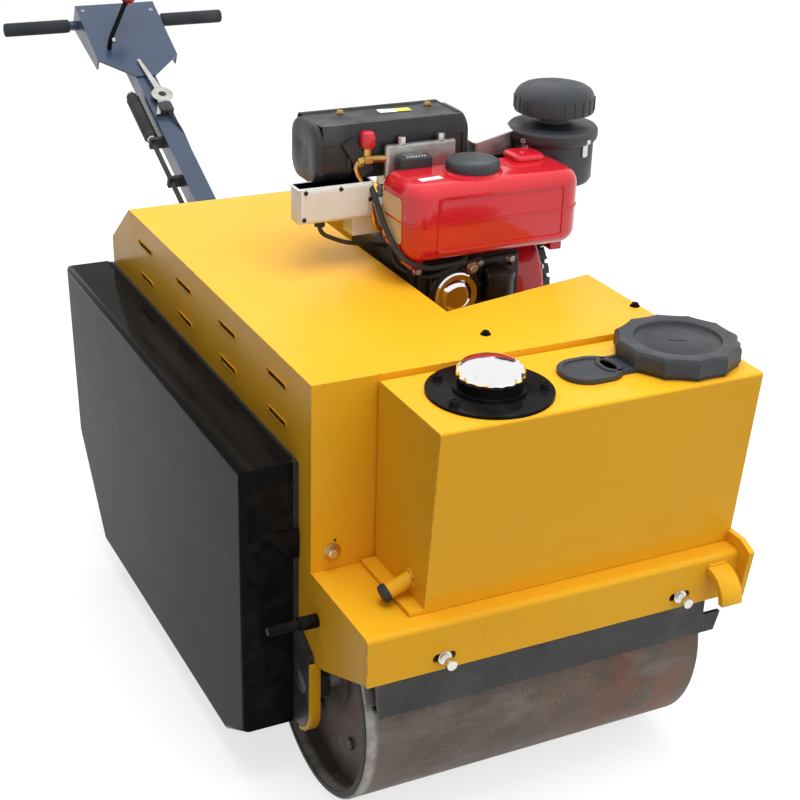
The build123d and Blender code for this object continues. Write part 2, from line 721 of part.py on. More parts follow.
# Engine: crankcase with a finned cylinder and the output shaft's pulley.
with BuildPart() as engine_block:
    with BuildSketch(level_plane(ENGINE_LOW)):
        with Locations(((ENGINE_LEFT + ENGINE_RIGHT) / 2, (ENGINE_FRONT_Y + ENGINE_REAR_Y) / 2)):
            Rectangle(ENGINE_RIGHT - ENGINE_LEFT, ENGINE_REAR_Y - ENGINE_FRONT_Y)
    extrude(amount=CASE_TOP - ENGINE_LOW)
    fillet(engine_block.edges().filter_by(Axis.X).group_by(Axis.Z)[-1], radius=CASE_FILLET)
    cylinder_mid_y = (CYLINDER_FRONT_Y + CYLINDER_REAR_Y) / 2
    cylinder_deep = CYLINDER_REAR_Y - CYLINDER_FRONT_Y
    with BuildSketch(level_plane(CASE_TOP)):
        with Locations((CYLINDER_X, cylinder_mid_y)):
            RectangleRounded(CYLINDER_WIDE - 2 * FIN_OUT, cylinder_deep - 2 * FIN_OUT, CASE_FILLET)
    extrude(amount=CYLINDER_TOP - CASE_TOP)
    fin_pitch = (CYLINDER_TOP - CASE_TOP) / FIN_COUNT
    for fin in range(FIN_COUNT):
        with BuildSketch(level_plane(CASE_TOP + fin_pitch * (fin + 1) - FIN_T)):
            with Locations((CYLINDER_X, cylinder_mid_y)):
                RectangleRounded(CYLINDER_WIDE, cylinder_deep, CASE_FILLET)
        extrude(amount=FIN_T)
finish_piece(engine_block.part, "engine_block")

with BuildPart() as engine_head:
    with BuildSketch(level_plane(CYLINDER_TOP)):
        with Locations((CYLINDER_X, cylinder_mid_y)):
            RectangleRounded(CYLINDER_WIDE, cylinder_deep, CASE_FILLET)
    extrude(amount=(HEAD_TOP - CYLINDER_TOP) / 2)
    with BuildSketch(level_plane(CYLINDER_TOP)):
        with Locations((CYLINDER_X, cylinder_mid_y)):
            RectangleRounded(CYLINDER_WIDE - 2 * HEAD_INSET, cylinder_deep - 2 * HEAD_INSET, CASE_FILLET)
    extrude(amount=HEAD_TOP - CYLINDER_TOP)
finish_piece(engine_head.part, "engine_head")

# Fuel tank: a rounded box on the crankcase, its front panel raised at the border.
with BuildPart() as fuel_tank:
    with BuildSketch(front_plane(FUEL_BACK_Y)):
        with Locations(((FUEL_LEFT + FUEL_RIGHT) / 2, (FUEL_LOW + FUEL_TOP) / 2)):
            RectangleRounded(FUEL_RIGHT - FUEL_LEFT, FUEL_TOP - FUEL_LOW, FUEL_CORNER_R)
    extrude(amount=FUEL_BACK_Y - FUEL_FRONT_Y)
    fillet(fuel_tank.faces().sort_by(Axis.Y)[0].edges(), radius=FUEL_CORNER_R / 3)
    with BuildSketch(front_plane(FUEL_FRONT_Y)):
        with Locations(((FUEL_LEFT + FUEL_RIGHT) / 2, (FUEL_LOW + FUEL_TOP) / 2)):
            RectangleRounded(
                FUEL_RIGHT - FUEL_LEFT - 2 * FUEL_PANEL_EDGE,
                FUEL_TOP - FUEL_LOW - 2 * FUEL_PANEL_EDGE,
                FUEL_CORNER_R / 3,
            )
    extrude(amount=-FUEL_PANEL_DEEP, mode=Mode.SUBTRACT)
    fuel_leg_y = (ENGINE_FRONT_Y + FUEL_BACK_Y) / 2
    with BuildSketch(level_plane(CASE_TOP)):
        with Locations(*[(x, fuel_leg_y) for x in MOUNT_XS]):
            Rectangle(BED_FOOT / 2, BED_FOOT / 2)
    extrude(amount=FUEL_LOW - CASE_TOP)
finish_piece(fuel_tank.part, "fuel_tank")

with BuildPart() as fuel_cap:
    with BuildSketch(level_plane(FUEL_TOP)):
        with Locations((FUEL_CAP_X, FUEL_CAP_Y)):
            Circle(FUEL_CAP_R)
    extrude(amount=FUEL_CAP_H)
    fillet(fuel_cap.edges().group_by(Axis.Z)[-1], radius=FUEL_CAP_H / 4)
finish_piece(fuel_cap.part, "fuel_cap")

# Muffler: an eight-sided can with a lipped cap at each end, on the exhaust port.
with BuildPart() as muffler:
    muffler_mid_y = (MUFFLER_FRONT_Y + MUFFLER_REAR_Y) / 2
    muffler_mid_z = (MUFFLER_LOW + MUFFLER_TOP) / 2
    for x0, x1, inset in (
        (MUFFLER_LEFT, MUFFLER_RIGHT, MUFFLER_END_LIP),
        (MUFFLER_LEFT, MUFFLER_LEFT + MUFFLER_END_T, 0),
        (MUFFLER_RIGHT - MUFFLER_END_T, MUFFLER_RIGHT, 0),
    ):
        with BuildSketch(side_plane(x0)) as can_outline:
            with Locations((muffler_mid_y, muffler_mid_z)):
                Rectangle(MUFFLER_REAR_Y - MUFFLER_FRONT_Y - 2 * inset, MUFFLER_TOP - MUFFLER_LOW - 2 * inset)
            chamfer(can_outline.vertices(), length=MUFFLER_CORNER)
        extrude(amount=x1 - x0)
    with BuildSketch(level_plane(HEAD_TOP)):
        with Locations((PORT_X, muffler_mid_y)):
            Circle(PORT_R)
    extrude(amount=muffler_mid_z - HEAD_TOP)
finish_piece(muffler.part, "muffler")

# Air cleaner: a can with a mushroom intake above and the duct to the head below.
with BuildPart() as air_cleaner:
    neck_low = CLEANER_LOW + CLEANER_BODY_H
    for z, height, radius in (
        (CLEANER_LOW, CLEANER_BODY_H, CLEANER_R),
        (neck_low, NECK_H, NECK_R),
        (neck_low + NECK_H, MUSHROOM_H, MUSHROOM_R),
    ):
        with BuildSketch(level_plane(z)):
            with Locations((CLEANER_X, CLEANER_Y)):
                Circle(radius)
        extrude(amount=height)
    duct_left = CYLINDER_X + CYLINDER_WIDE / 2
    with BuildSketch(level_plane(CLEANER_LOW - DUCT_H)):
        with Locations(((duct_left + CLEANER_X) / 2, (DUCT_FRONT_Y + DUCT_REAR_Y) / 2)):
            Rectangle(CLEANER_X - duct_left, DUCT_REAR_Y - DUCT_FRONT_Y)
    extrude(amount=DUCT_H)
    with BuildSketch(level_plane(CYLINDER_TOP)):
        with Locations(((duct_left + FLANGE_PAD), (DUCT_FRONT_Y + DUCT_REAR_Y) / 2)):
            Rectangle(2 * FLANGE_PAD, DUCT_REAR_Y - DUCT_FRONT_Y)
    extrude(amount=CLEANER_LOW - CYLINDER_TOP)
finish_piece(air_cleaner.part, "air_cleaner")

# Recoil starter: the red shroud on the crankcase's right end with its finned ring.
with BuildPart() as recoil_shroud:
    with BuildSketch(side_plane(ENGINE_RIGHT)):
        with Locations((CRANK_Y, CRANK_Z)):
            Circle(RECOIL_R)
    extrude(amount=RECOIL_T)
    fillet(recoil_shroud.edges().sort_by(Axis.X)[-1], radius=RECOIL_T / 5)
finish_piece(recoil_shroud.part, "recoil_shroud")

with BuildPart() as recoil_ring:
    ring_x = ENGINE_RIGHT + RECOIL_T
    with BuildSketch(side_plane(ring_x)):
        with Locations((CRANK_Y, CRANK_Z)):
            Circle(RECOIL_RING_R)
            with PolarLocations(RECOIL_RING_R, RECOIL_FINS):
                Rectangle(RECOIL_RING_T, RECOIL_CAP_T, mode=Mode.SUBTRACT)
    extrude(amount=RECOIL_RING_T)
    with BuildSketch(side_plane(ring_x + RECOIL_RING_T)):
        with Locations((CRANK_Y, CRANK_Z)):
            Circle(RECOIL_CAP_R)
    extrude(amount=RECOIL_CAP_T)
finish_piece(recoil_ring.part, "recoil_ring")

# Terminal box on the left of the cylinder.
box_right = CYLINDER_X - CYLINDER_WIDE / 2 - SEAT_GAP
with BuildPart() as terminal_box:
    with BuildSketch(level_plane(BOX_LOW)):
        with Locations(((BOX_LEFT + box_right) / 2, BOX_Y + BOX_DEEP / 2)):
            Rectangle(box_right - BOX_LEFT, BOX_DEEP)
    extrude(amount=BOX_H)
finish_piece(terminal_box.part, "terminal_box")


def arm_plane(along):
    """Plane across the handle arm, as far along it from the pivot."""
    y = PIVOT_Y + along * cos(ARM_RISE)
    z = PIVOT_Z + along * sin(ARM_RISE)
    arm_direction = (0, cos(ARM_RISE), sin(ARM_RISE))
    return Plane(origin=(MID_X, MID_Y + y, z), x_dir=(1, 0, 0), z_dir=arm_direction)


# Bracket on the rear bumper: two ears with the pivot pin between them.
with BuildPart() as handle_bracket:
    ear_inner = ARM_W / 2 + EAR_GAP
    for x0 in (-ear_inner - EAR_T, ear_inner):
        with BuildSketch(side_plane(x0)):
            with BuildLine():
                Polyline(
                    (BUMPER_REAR, PIVOT_Z - EAR_H),
                    (PIVOT_Y, PIVOT_Z - HUB_TUBE_R),
                    (PIVOT_Y, PIVOT_Z + HUB_TUBE_R),
                    (BUMPER_REAR, FLOOR_TOP),
                    close=True,
                )
            make_face()
            with Locations((PIVOT_Y, PIVOT_Z)):
                Circle(HUB_TUBE_R)
                Circle(PIN_R + BORE_CLEARANCE, mode=Mode.SUBTRACT)
        extrude(amount=EAR_T)
finish_piece(handle_bracket.part, "handle_bracket")

with BuildPart() as handle_pin:
    pin_half = ear_inner + EAR_T + PIN_R
    cylinder_along_x(-pin_half, pin_half, PIVOT_Y, PIVOT_Z, PIN_R)
finish_piece(handle_pin.part, "handle_pin")

# Arm: a rectangular tube from the pivot's hub up to the cross bar.
ARM_LONG = (BAR_Y - PIVOT_Y) / cos(ARM_RISE) + ARM_PAST_BAR
with BuildPart() as handle_arm:
    with BuildSketch(arm_plane(0)):
        Rectangle(ARM_W, ARM_D)
    extrude(amount=ARM_LONG)
    cylinder_along_x(-ARM_W / 2, ARM_W / 2, PIVOT_Y, PIVOT_Z, ARM_D / 2)
    pin_bore, bar_bore = PIN_R + BORE_CLEARANCE, HANDLEBAR_R + BORE_CLEARANCE
    cylinder_along_x(-ARM_W / 2, ARM_W / 2, PIVOT_Y, PIVOT_Z, pin_bore, Mode.SUBTRACT)
    cylinder_along_x(-ARM_W / 2, ARM_W / 2, BAR_Y, BAR_Z, bar_bore, Mode.SUBTRACT)
finish_piece(handle_arm.part, "handle_arm")

# Console: a tapered plate from the arm's top to above the cross bar, with two side flanges.
console_tip_z = PIVOT_Z + (CONSOLE_TIP_Y - PIVOT_Y) * tan(ARM_RISE) + ARM_D / 2 / cos(ARM_RISE)
console_plane = Plane(
    origin=(MID_X, MID_Y + CONSOLE_TIP_Y, console_tip_z),
    x_dir=(1, 0, 0),
    z_dir=(0, -sin(CONSOLE_RISE), cos(CONSOLE_RISE)),
)


def console_point(along, down):
    """The machine's y and z of a place on the console, down square to its plate."""
    y = CONSOLE_TIP_Y + along * cos(CONSOLE_RISE) + down * sin(CONSOLE_RISE)
    z = console_tip_z + along * sin(CONSOLE_RISE) - down * cos(CONSOLE_RISE)
    return (y, z)


with BuildPart() as console:
    with BuildSketch(console_plane):
        with BuildLine():
            Polyline(
                (-CONSOLE_HALF_W, CONSOLE_TIP + CONSOLE_LONG),
                (CONSOLE_HALF_W, CONSOLE_TIP + CONSOLE_LONG),
                (CONSOLE_HALF_W, CONSOLE_TIP),
                (ARM_W / 2, 0),
                (-ARM_W / 2, 0),
                (-CONSOLE_HALF_W, CONSOLE_TIP),
                close=True,
            )
        make_face()
    extrude(amount=CONSOLE_T)
    for x0 in (-CONSOLE_HALF_W, CONSOLE_HALF_W - CONSOLE_T):
        with BuildSketch(side_plane(x0)):
            with BuildLine():
                Polyline(
                    console_point(CONSOLE_TIP, 0),
                    console_point(CONSOLE_TIP, CONSOLE_FLANGE_LOW),
                    console_point(CONSOLE_TIP + CONSOLE_LONG, CONSOLE_FLANGE_HIGH),
                    console_point(CONSOLE_TIP + CONSOLE_LONG, 0),
                    close=True,
                )
            make_face()
        extrude(amount=CONSOLE_T)
    cylinder_along_x(-CONSOLE_HALF_W, CONSOLE_HALF_W, BAR_Y, BAR_Z, bar_bore, Mode.SUBTRACT)
finish_piece(console.part, "console")

# Cross bar with a foam grip at each end.
with BuildPart() as handlebar:
    cylinder_along_x(-HANDLEBAR_HALF, HANDLEBAR_HALF, BAR_Y, BAR_Z, HANDLEBAR_R)
finish_piece(handlebar.part, "handlebar")

for side, x0 in (
    ("left", -HANDLEBAR_HALF - GRIP_END),
    ("right", HANDLEBAR_HALF + GRIP_END - GRIP_LONG),
):
    with BuildPart() as grip:
        cylinder_along_x(x0, x0 + GRIP_LONG, BAR_Y, BAR_Z, GRIP_R)
        grip_bore = HANDLEBAR_R + BORE_CLEARANCE
        cylinder_along_x(-HANDLEBAR_HALF, HANDLEBAR_HALF, BAR_Y, BAR_Z, grip_bore, Mode.SUBTRACT)
    finish_piece(grip.part, f"grip_{side}")

# Travel lever with its ball, standing out of the console.
with BuildPart() as travel_lever:
    lever_plane = console_plane.offset(CONSOLE_T)
    with BuildSketch(lever_plane):
        with Locations((0, LEVER_PLACE)):
            Circle(LEVER_R)
    extrude(amount=LEVER_LONG)
    with Locations(lever_plane.location * Location((0, LEVER_PLACE, LEVER_LONG))):
        Sphere(KNOB_BALL_R)
finish_piece(travel_lever.part, "travel_lever")

# Strut with its rod along the arm's left side, held to the arm by three clips.
with BuildPart() as damper:
    strut_x = -ARM_W / 2 - STRUT_SIDE_GAP - STRUT_R
    with BuildSketch(arm_plane(STRUT_START)):
        with Locations((strut_x, 0)):
            Circle(STRUT_R)
    extrude(amount=STRUT_LONG)
    with BuildSketch(arm_plane(STRUT_START + STRUT_LONG)):
        with Locations((strut_x, 0)):
            Circle(ROD_R)
    extrude(amount=ROD_LONG)
    rod_start = STRUT_START + STRUT_LONG
    clip_in = -ARM_W / 2 - SEAT_GAP
    for along in (STRUT_START, rod_start - CLIP_LONG, rod_start + ROD_LONG - CLIP_LONG):
        with BuildSketch(arm_plane(along)):
            with Locations(((strut_x + clip_in) / 2, 0)):
                Rectangle(clip_in - strut_x, CLIP_H)
        extrude(amount=CLIP_LONG)
finish_piece(damper.part, "damper")
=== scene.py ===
"""Looks of the walk-behind roller: camera, light, finishes and the small pieces that the frame leaves out.

Places and sizes are in the machine's own millimetres, as in the part's source: x to the right seen from the
front, y to the rear and z up, counted from the ground midway between the drums. Piece.done turns them into
Blender's metres.
"""
import json
from math import cos, pi, radians, sin, tau

import bpy
from mathutils import Matrix, Vector


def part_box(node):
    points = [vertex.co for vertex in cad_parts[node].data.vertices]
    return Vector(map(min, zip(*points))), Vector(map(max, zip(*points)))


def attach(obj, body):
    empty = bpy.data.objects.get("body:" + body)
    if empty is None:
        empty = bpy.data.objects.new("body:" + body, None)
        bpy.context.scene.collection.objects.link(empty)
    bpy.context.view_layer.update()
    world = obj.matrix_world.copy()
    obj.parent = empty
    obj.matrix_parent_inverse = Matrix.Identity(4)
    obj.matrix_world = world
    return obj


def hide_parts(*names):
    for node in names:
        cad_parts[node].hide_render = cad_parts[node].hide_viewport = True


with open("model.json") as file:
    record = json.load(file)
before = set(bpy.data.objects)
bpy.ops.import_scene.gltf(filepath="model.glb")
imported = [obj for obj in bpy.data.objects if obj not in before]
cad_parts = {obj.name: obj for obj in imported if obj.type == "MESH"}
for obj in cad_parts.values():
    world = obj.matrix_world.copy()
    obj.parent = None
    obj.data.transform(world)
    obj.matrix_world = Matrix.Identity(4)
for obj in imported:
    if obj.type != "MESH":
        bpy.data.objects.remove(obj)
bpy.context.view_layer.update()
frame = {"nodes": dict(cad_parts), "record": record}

MM = 0.001
ARM_LOW, ARM_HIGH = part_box("handle_arm")
MID = Vector(((ARM_LOW.x + ARM_HIGH.x) / 2, (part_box("drum_front")[0].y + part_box("drum_rear")[1].y) / 2, 0))

# Camera, in machine metres
CAMERA_AT = Vector((-1.178671, -2.360149, 1.707352))
CAMERA_AIM = Vector((0.018284, 0.005611, 0.478666))
CAMERA_LENS = 71.418
CAMERA_ROLL = 0.02963

# Studio, in machine metres
FLOOR_HALF = 40.0
FLOOR_COLOUR = (0.36, 0.36, 0.36)
FLOOR_ROUGH = 0.9
FLOOR_SHINE = 0.1
FLOOR_LIFT = 0.72
SKY_BRIGHT = 1.1
SKY_DIM = 0.02
SKY_FROM = (0.62, -0.38, 0.68)
SKY_DIM_AT = -0.35
SKY_BRIGHT_AT = 0.9
LAMPS_AIM = Vector((0, 0, 0.4))
LAMPS = (
    # name, place, size, power in watts
    ("lamp_key", (0.0, -0.5, 4.1), 2.6, 105),
    ("lamp_front", (0.7, -4.2, 1.9), 2.4, 12),
    ("lamp_back", (0.6, 3.2, 3.0), 2.4, 60),
)


class Span:
    """The box round a CAD node, in machine millimetres."""

    def __init__(self, node):
        low, high = ((corner - MID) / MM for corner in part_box(node))
        self.left, self.front, self.low = low
        self.right, self.rear, self.top = high
        self.x, self.y, self.z = (low + high) / 2


HOOD, TANK, COVER = map(Span, ("hood", "front_tank", "side_cover"))
BUMPER, TAIL = map(Span, ("bumper_front", "bumper_rear"))
LEFT_RAIL, RIGHT_RAIL, RIGHT_PLATE = map(Span, ("rail_left", "rail_right", "side_plate_right"))
AXLES = (Span("axle_front"), Span("axle_rear"))
KNOB, LID = map(Span, ("breather_knob", "filler_cap"))
CASE, BED, HEAD = map(Span, ("engine_block", "engine_bed", "engine_head"))
FUEL, FUEL_CAP, MUFFLER = map(Span, ("fuel_tank", "fuel_cap", "muffler"))
SHROUD, RING = map(Span, ("recoil_shroud", "recoil_ring"))
LEVER, ROD, PIN, BAR = map(Span, ("travel_lever", "damper", "handle_pin", "handlebar"))
LEFT_GRIP, RIGHT_GRIP = map(Span, ("grip_left", "grip_right"))

# Handle arm and console: the arm's depth, the ways along and above each, and the console's tip
ARM_DEEP = 44.0
ARM_WAY = Vector((0, BAR.y - PIN.y, BAR.z - PIN.z)).normalized()
ARM_UP = Vector((0, -ARM_WAY.z, ARM_WAY.y))
CONSOLE_RISE = radians(27.5)
CONSOLE_WAY = Vector((0, cos(CONSOLE_RISE), sin(CONSOLE_RISE)))
CONSOLE_UP = Vector((0, -sin(CONSOLE_RISE), cos(CONSOLE_RISE)))
CONSOLE_TIP_Y = 1417.0

OUT_LEFT = (-1, 0, 0)
OUT_RIGHT = (1, 0, 0)
OUT_FRONT = (0, -1, 0)
OUT_REAR = (0, 1, 0)
OUT_UP = (0, 0, 1)


def make_camera():
    at, aim = MID + CAMERA_AT, MID + CAMERA_AIM
    ahead = (aim - at).normalized()
    level = ahead.cross(Vector((0, 0, 1))).normalized()
    upright = level.cross(ahead)
    right = cos(CAMERA_ROLL) * level + sin(CAMERA_ROLL) * upright
    up = cos(CAMERA_ROLL) * upright - sin(CAMERA_ROLL) * level
    turn = Matrix((right, up, -ahead)).transposed().to_4x4()
    data = bpy.data.cameras.new("camera")
    data.lens = CAMERA_LENS
    camera = bpy.data.objects.new("camera", data)
    camera.matrix_world = Matrix.Translation(at) @ turn
    bpy.context.scene.collection.objects.link(camera)
    bpy.context.scene.camera = camera


def add_node(tree, kind, inputs=None, **settings):
    """Add a node. An input is a number, a colour or another node's output."""
    made = tree.nodes.new(kind)
    for setting, value in settings.items():
        setattr(made, setting, value)
    for socket, value in (inputs or {}).items():
        if isinstance(value, bpy.types.NodeSocket):
            tree.links.new(value, made.inputs[socket])
        else:
            made.inputs[socket].default_value = value
    return made


def seen_directly(tree):
    """A factor that is 1 for what the camera sees, also mirrored or through glass."""
    path = add_node(tree, "ShaderNodeLightPath").outputs
    seen = path["Is Camera Ray"]
    for ray in ("Is Glossy Ray", "Is Transmission Ray"):
        seen = add_node(tree, "ShaderNodeMath", {0: seen, 1: path[ray]}, operation="MAXIMUM").outputs[0]
    return seen


def make_floor():
    """A pale floor, lifted a little where it is seen directly."""
    mesh = bpy.data.meshes.new("floor")
    h = FLOOR_HALF
    mesh.from_pydata([(-h, -h, 0), (h, -h, 0), (h, h, 0), (-h, h, 0)], [], [(0, 1, 2, 3)])
    floor = bpy.data.objects.new("floor", mesh)
    bpy.context.scene.collection.objects.link(floor)
    paint = Finish("floor", FLOOR_COLOUR, FLOOR_ROUGH, Specular_IOR_Level=FLOOR_SHINE)
    lift = paint.times(seen_directly(paint.tree), FLOOR_LIFT)
    glow = paint.node("ShaderNodeEmission", {"Strength": lift}).outputs[0]
    both = paint.node("ShaderNodeAddShader", {0: paint.shader.outputs[0], 1: glow}).outputs[0]
    paint.tree.links.new(both, paint.tree.nodes["Material Output"].inputs["Surface"])
    mesh.materials.append(FINISHES["floor"])


def make_sky():
    """A soft sky, brighter from the machine's right, and white where it is seen directly or mirrored."""
    world = bpy.data.worlds.new("sky")
    world.use_nodes = True
    bpy.context.scene.world = world
    tree = world.node_tree
    way = add_node(tree, "ShaderNodeTexCoord").outputs["Generated"]
    towards = add_node(tree, "ShaderNodeVectorMath", {0: way, 1: SKY_FROM}, operation="DOT_PRODUCT")
    inputs = {"Value": towards.outputs["Value"], "From Min": SKY_DIM_AT, "From Max": SKY_BRIGHT_AT}
    inputs.update({"To Min": SKY_DIM, "To Max": SKY_BRIGHT})
    strength = add_node(tree, "ShaderNodeMapRange", inputs).outputs[0]
    sky = tree.nodes["Background"]
    sky.inputs["Color"].default_value = (1, 1, 1, 1)
    tree.links.new(strength, sky.inputs["Strength"])
    white = add_node(tree, "ShaderNodeBackground", {"Color": (1, 1, 1, 1), "Strength": 1.0})
    shades = {0: seen_directly(tree), 1: sky.outputs[0], 2: white.outputs[0]}
    pick = add_node(tree, "ShaderNodeMixShader", shades).outputs[0]
    tree.links.new(pick, tree.nodes["World Output"].inputs["Surface"])


def make_lamps():
    for name, place, size, power in LAMPS:
        data = bpy.data.lights.new(name, "AREA")
        data.size = size
        data.energy = power
        lamp = bpy.data.objects.new(name, data)
        lamp.visible_glossy = False
        lamp.location = MID + Vector(place)
        aim = MID + LAMPS_AIM - lamp.location
        lamp.rotation_euler = aim.to_track_quat("-Z", "Y").to_euler()
        bpy.context.scene.collection.objects.link(lamp)


# Sockets of the mix node, which are told apart by number alone
COLOUR_UNDER, COLOUR_OVER, COLOUR_OUT = 6, 7, 2
ROUGH_UNDER, ROUGH_OVER = 2, 3
FINISHES = {}


class Finish:
    """A procedural material in FINISHES, built node by node on the piece's own metres."""

    def __init__(self, name, colour, rough, metal=0.0, **sockets):
        material = bpy.data.materials.new(name)
        material.use_nodes = True
        self.tree = material.node_tree
        self.shader = self.tree.nodes["Principled BSDF"]
        self.place = self.node("ShaderNodeTexCoord").outputs["Object"]
        self.colour = (*colour, 1)
        self.rough = rough
        self.shader.inputs["Base Color"].default_value = self.colour
        self.shader.inputs["Roughness"].default_value = rough
        self.shader.inputs["Metallic"].default_value = metal
        for socket, value in sockets.items():
            self.shader.inputs[socket.replace("_", " ")].default_value = value
        FINISHES[name] = material

    def node(self, kind, inputs=None, **settings):
        return add_node(self.tree, kind, inputs, **settings)

    def noise(self, scale, detail, rough=0.55, stretch=(1, 1, 1), shift=0.0):
        """Soft random values, scale in features a metre."""
        inputs = {"Vector": self.place, "Scale": stretch, "Location": (shift, shift, shift)}
        place = self.node("ShaderNodeMapping", inputs).outputs[0]
        inputs = {"Vector": place, "Scale": scale, "Detail": detail, "Roughness": rough}
        return self.node("ShaderNodeTexNoise", inputs).outputs[0]

    def between(self, value, low, high, out_low=0.0, out_high=1.0):
        """Where a value lies between two others, as a factor."""
        inputs = {"Value": value, "From Min": low, "From Max": high, "To Min": out_low, "To Max": out_high}
        return self.node("ShaderNodeMapRange", inputs).outputs[0]

    def times(self, a, b):
        return self.node("ShaderNodeMath", {0: a, 1: b}, operation="MULTIPLY").outputs[0]

    def along(self, axis, low, high):
        """A factor that grows from one machine place on an axis to another."""
        place = self.node("ShaderNodeSeparateXYZ", {0: self.place}).outputs[axis]
        shift = MID["XYZ".index(axis)]
        if low < high:
            return self.between(place, shift + low * MM, shift + high * MM)
        return self.between(place, shift + high * MM, shift + low * MM, 1.0, 0.0)

    def tint(self, factor, colour):
        """Lay another colour over what there is, by a factor."""
        base = self.shader.inputs["Base Color"]
        under = base.links[0].from_socket if base.is_linked else self.colour
        inputs = {0: factor, COLOUR_UNDER: under, COLOUR_OVER: (*colour, 1)}
        mix = self.node("ShaderNodeMix", inputs, data_type="RGBA")
        self.tree.links.new(mix.outputs[COLOUR_OUT], base)

    def stain(self, colour, low, high, most, *noise, **more):
        """Lay a colour over where a noise lies between two values, up to a share."""
        self.tint(self.between(self.noise(*noise, **more), low, high, 0, most), colour)

    def dull(self, rough, low, high, *noise):
        """Change the roughness where a noise lies between two values."""
        factor = self.between(self.noise(*noise), low, high)
        inputs = {0: factor, ROUGH_UNDER: self.rough, ROUGH_OVER: rough}
        mix = self.node("ShaderNodeMix", inputs, data_type="FLOAT")
        self.tree.links.new(mix.outputs[0], self.shader.inputs["Roughness"])

    def bump(self, depth, strength, *noise, **more):
        """Raise the surface by a noise times depth in metres."""
        inputs = {"Height": self.noise(*noise, **more), "Distance": depth, "Strength": strength}
        bump = self.node("ShaderNodeBump", inputs)
        socket = self.shader.inputs["Normal"]
        if socket.is_linked:
            self.tree.links.new(socket.links[0].from_socket, bump.inputs["Normal"])
        self.tree.links.new(bump.outputs[0], socket)

    def edges(self, radius=0.0025):
        """A factor that is high along sharp edges."""
        bevel = self.node("ShaderNodeBevel", {"Radius": radius}, samples=4).outputs[0]
        flat = self.node("ShaderNodeNewGeometry").outputs["Normal"]
        dot = self.node("ShaderNodeVectorMath", {0: bevel, 1: flat}, operation="DOT_PRODUCT").outputs["Value"]
        return self.between(dot, 0.995, 0.9)


def yellow_paint():
    sockets = {"Specular_IOR_Level": 0.13, "Coat_Weight": 0.03, "Coat_Roughness": 0.06}
    made = Finish("yellow_paint", (0.84, 0.42, 0.016), 0.28, **sockets)
    made.stain((0.88, 0.47, 0.022), 0.42, 0.7, 0.5, 2.2, 2)
    made.stain((0.74, 0.34, 0.014), 0.56, 0.78, 0.3, 9, 5)
    made.tint(made.times(made.edges(), made.between(made.noise(70, 4), 0.52, 0.62)), (0.30, 0.20, 0.12))
    made.dull(0.42, 0.45, 0.75, 7, 6)
    made.bump(0.0005, 0.12, 240, 2)
    made.bump(0.004, 0.2, 5, 1)


def black_paint():
    made = Finish("black_paint", (0.008, 0.008, 0.008), 0.05, Specular_IOR_Level=0.02)
    made.stain((0.026, 0.024, 0.022), 0.5, 0.75, 0.6, 26, 3, stretch=(1, 0.06, 1))
    made.dull(0.18, 0.45, 0.75, 5, 5)
    made.bump(0.0006, 0.15, 60, 2, stretch=(1, 0.02, 1))
    made.bump(0.004, 0.2, 6, 1)


def frame_black():
    made = Finish("frame_black", (0.014, 0.014, 0.014), 0.42)
    made.stain((0.045, 0.038, 0.032), 0.5, 0.7, 0.8, 14, 6)
    made.tint(made.times(made.edges(), made.between(made.noise(80, 4), 0.5, 0.62)), (0.16, 0.13, 0.11))
    made.dull(0.7, 0.4, 0.7, 20, 5)
    made.bump(0.0008, 0.25, 160, 3)


def drum_steel():
    """Scraped steel with rust, a band that the road polishes at its left end and black end rims."""
    made = Finish("drum_steel", (0.15, 0.118, 0.098), 0.6, metal=0.3)
    made.stain((0.085, 0.058, 0.046), 0.42, 0.66, 1, 7, 8, 0.65)
    made.stain((0.20, 0.10, 0.058), 0.52, 0.72, 0.8, 13, 8, 0.7, shift=3.0)
    rust = made.times(made.along("X", 60, 190), made.between(made.noise(8, 6, 0.6, shift=5.0), 0.42, 0.6))
    made.tint(made.times(rust, made.along("X", 300, 230)), (0.26, 0.095, 0.04))
    made.stain((0.235, 0.222, 0.21), 0.53, 0.7, 0.85, 9, 6, 0.6, (0.4, 1, 1), 7.0)
    worn = made.times(made.along("X", -294, -303), made.between(made.noise(35, 4), 0.35, 0.6, 0.4, 1.0))
    made.tint(worn, (0.42, 0.40, 0.37))
    specks = made.node("ShaderNodeTexVoronoi", {"Vector": made.place, "Scale": 120.0}).outputs["Distance"]
    patches = made.between(made.noise(30, 2), 0.56, 0.62)
    made.tint(made.times(made.between(specks, 0.14, 0.08), patches), (0.55, 0.53, 0.5))
    made.tint(made.along("X", -313.5, -314.5), (0.013, 0.013, 0.013))
    made.tint(made.along("X", 303.5, 304.5), (0.013, 0.013, 0.013))
    made.bump(0.0015, 0.5, 60, 8, 0.7)
    made.bump(0.002, 0.3, 14, 4, stretch=(0.5, 1, 1))


def plain_metal(name, colour, rough, grain=300.0):
    made = Finish(name, colour, rough, metal=1.0)
    made.stain(tuple(c * 0.55 for c in colour), 0.5, 0.7, 0.6, 40, 5)
    made.dull(min(1.0, rough + 0.22), 0.4, 0.7, 55, 5)
    made.bump(0.0004, 0.3, grain, 3)


def mirror_metal(name, colour):
    made = Finish(name, colour, 0.05, metal=1.0)
    made.stain((0.55, 0.53, 0.5), 0.55, 0.75, 0.4, 30, 4)
    made.dull(0.14, 0.5, 0.75, 70, 4)
    made.bump(0.0008, 0.2, 25, 2)


def moulded(name, colour, rough, grain=420.0, depth=0.0004, dust=(0.08, 0.077, 0.074)):
    made = Finish(name, colour, rough)
    made.stain(dust, 0.52, 0.75, 0.45, 12, 6)
    made.dull(min(1.0, rough + 0.2), 0.4, 0.7, 18, 5)
    made.bump(depth, 0.35, grain, 3)


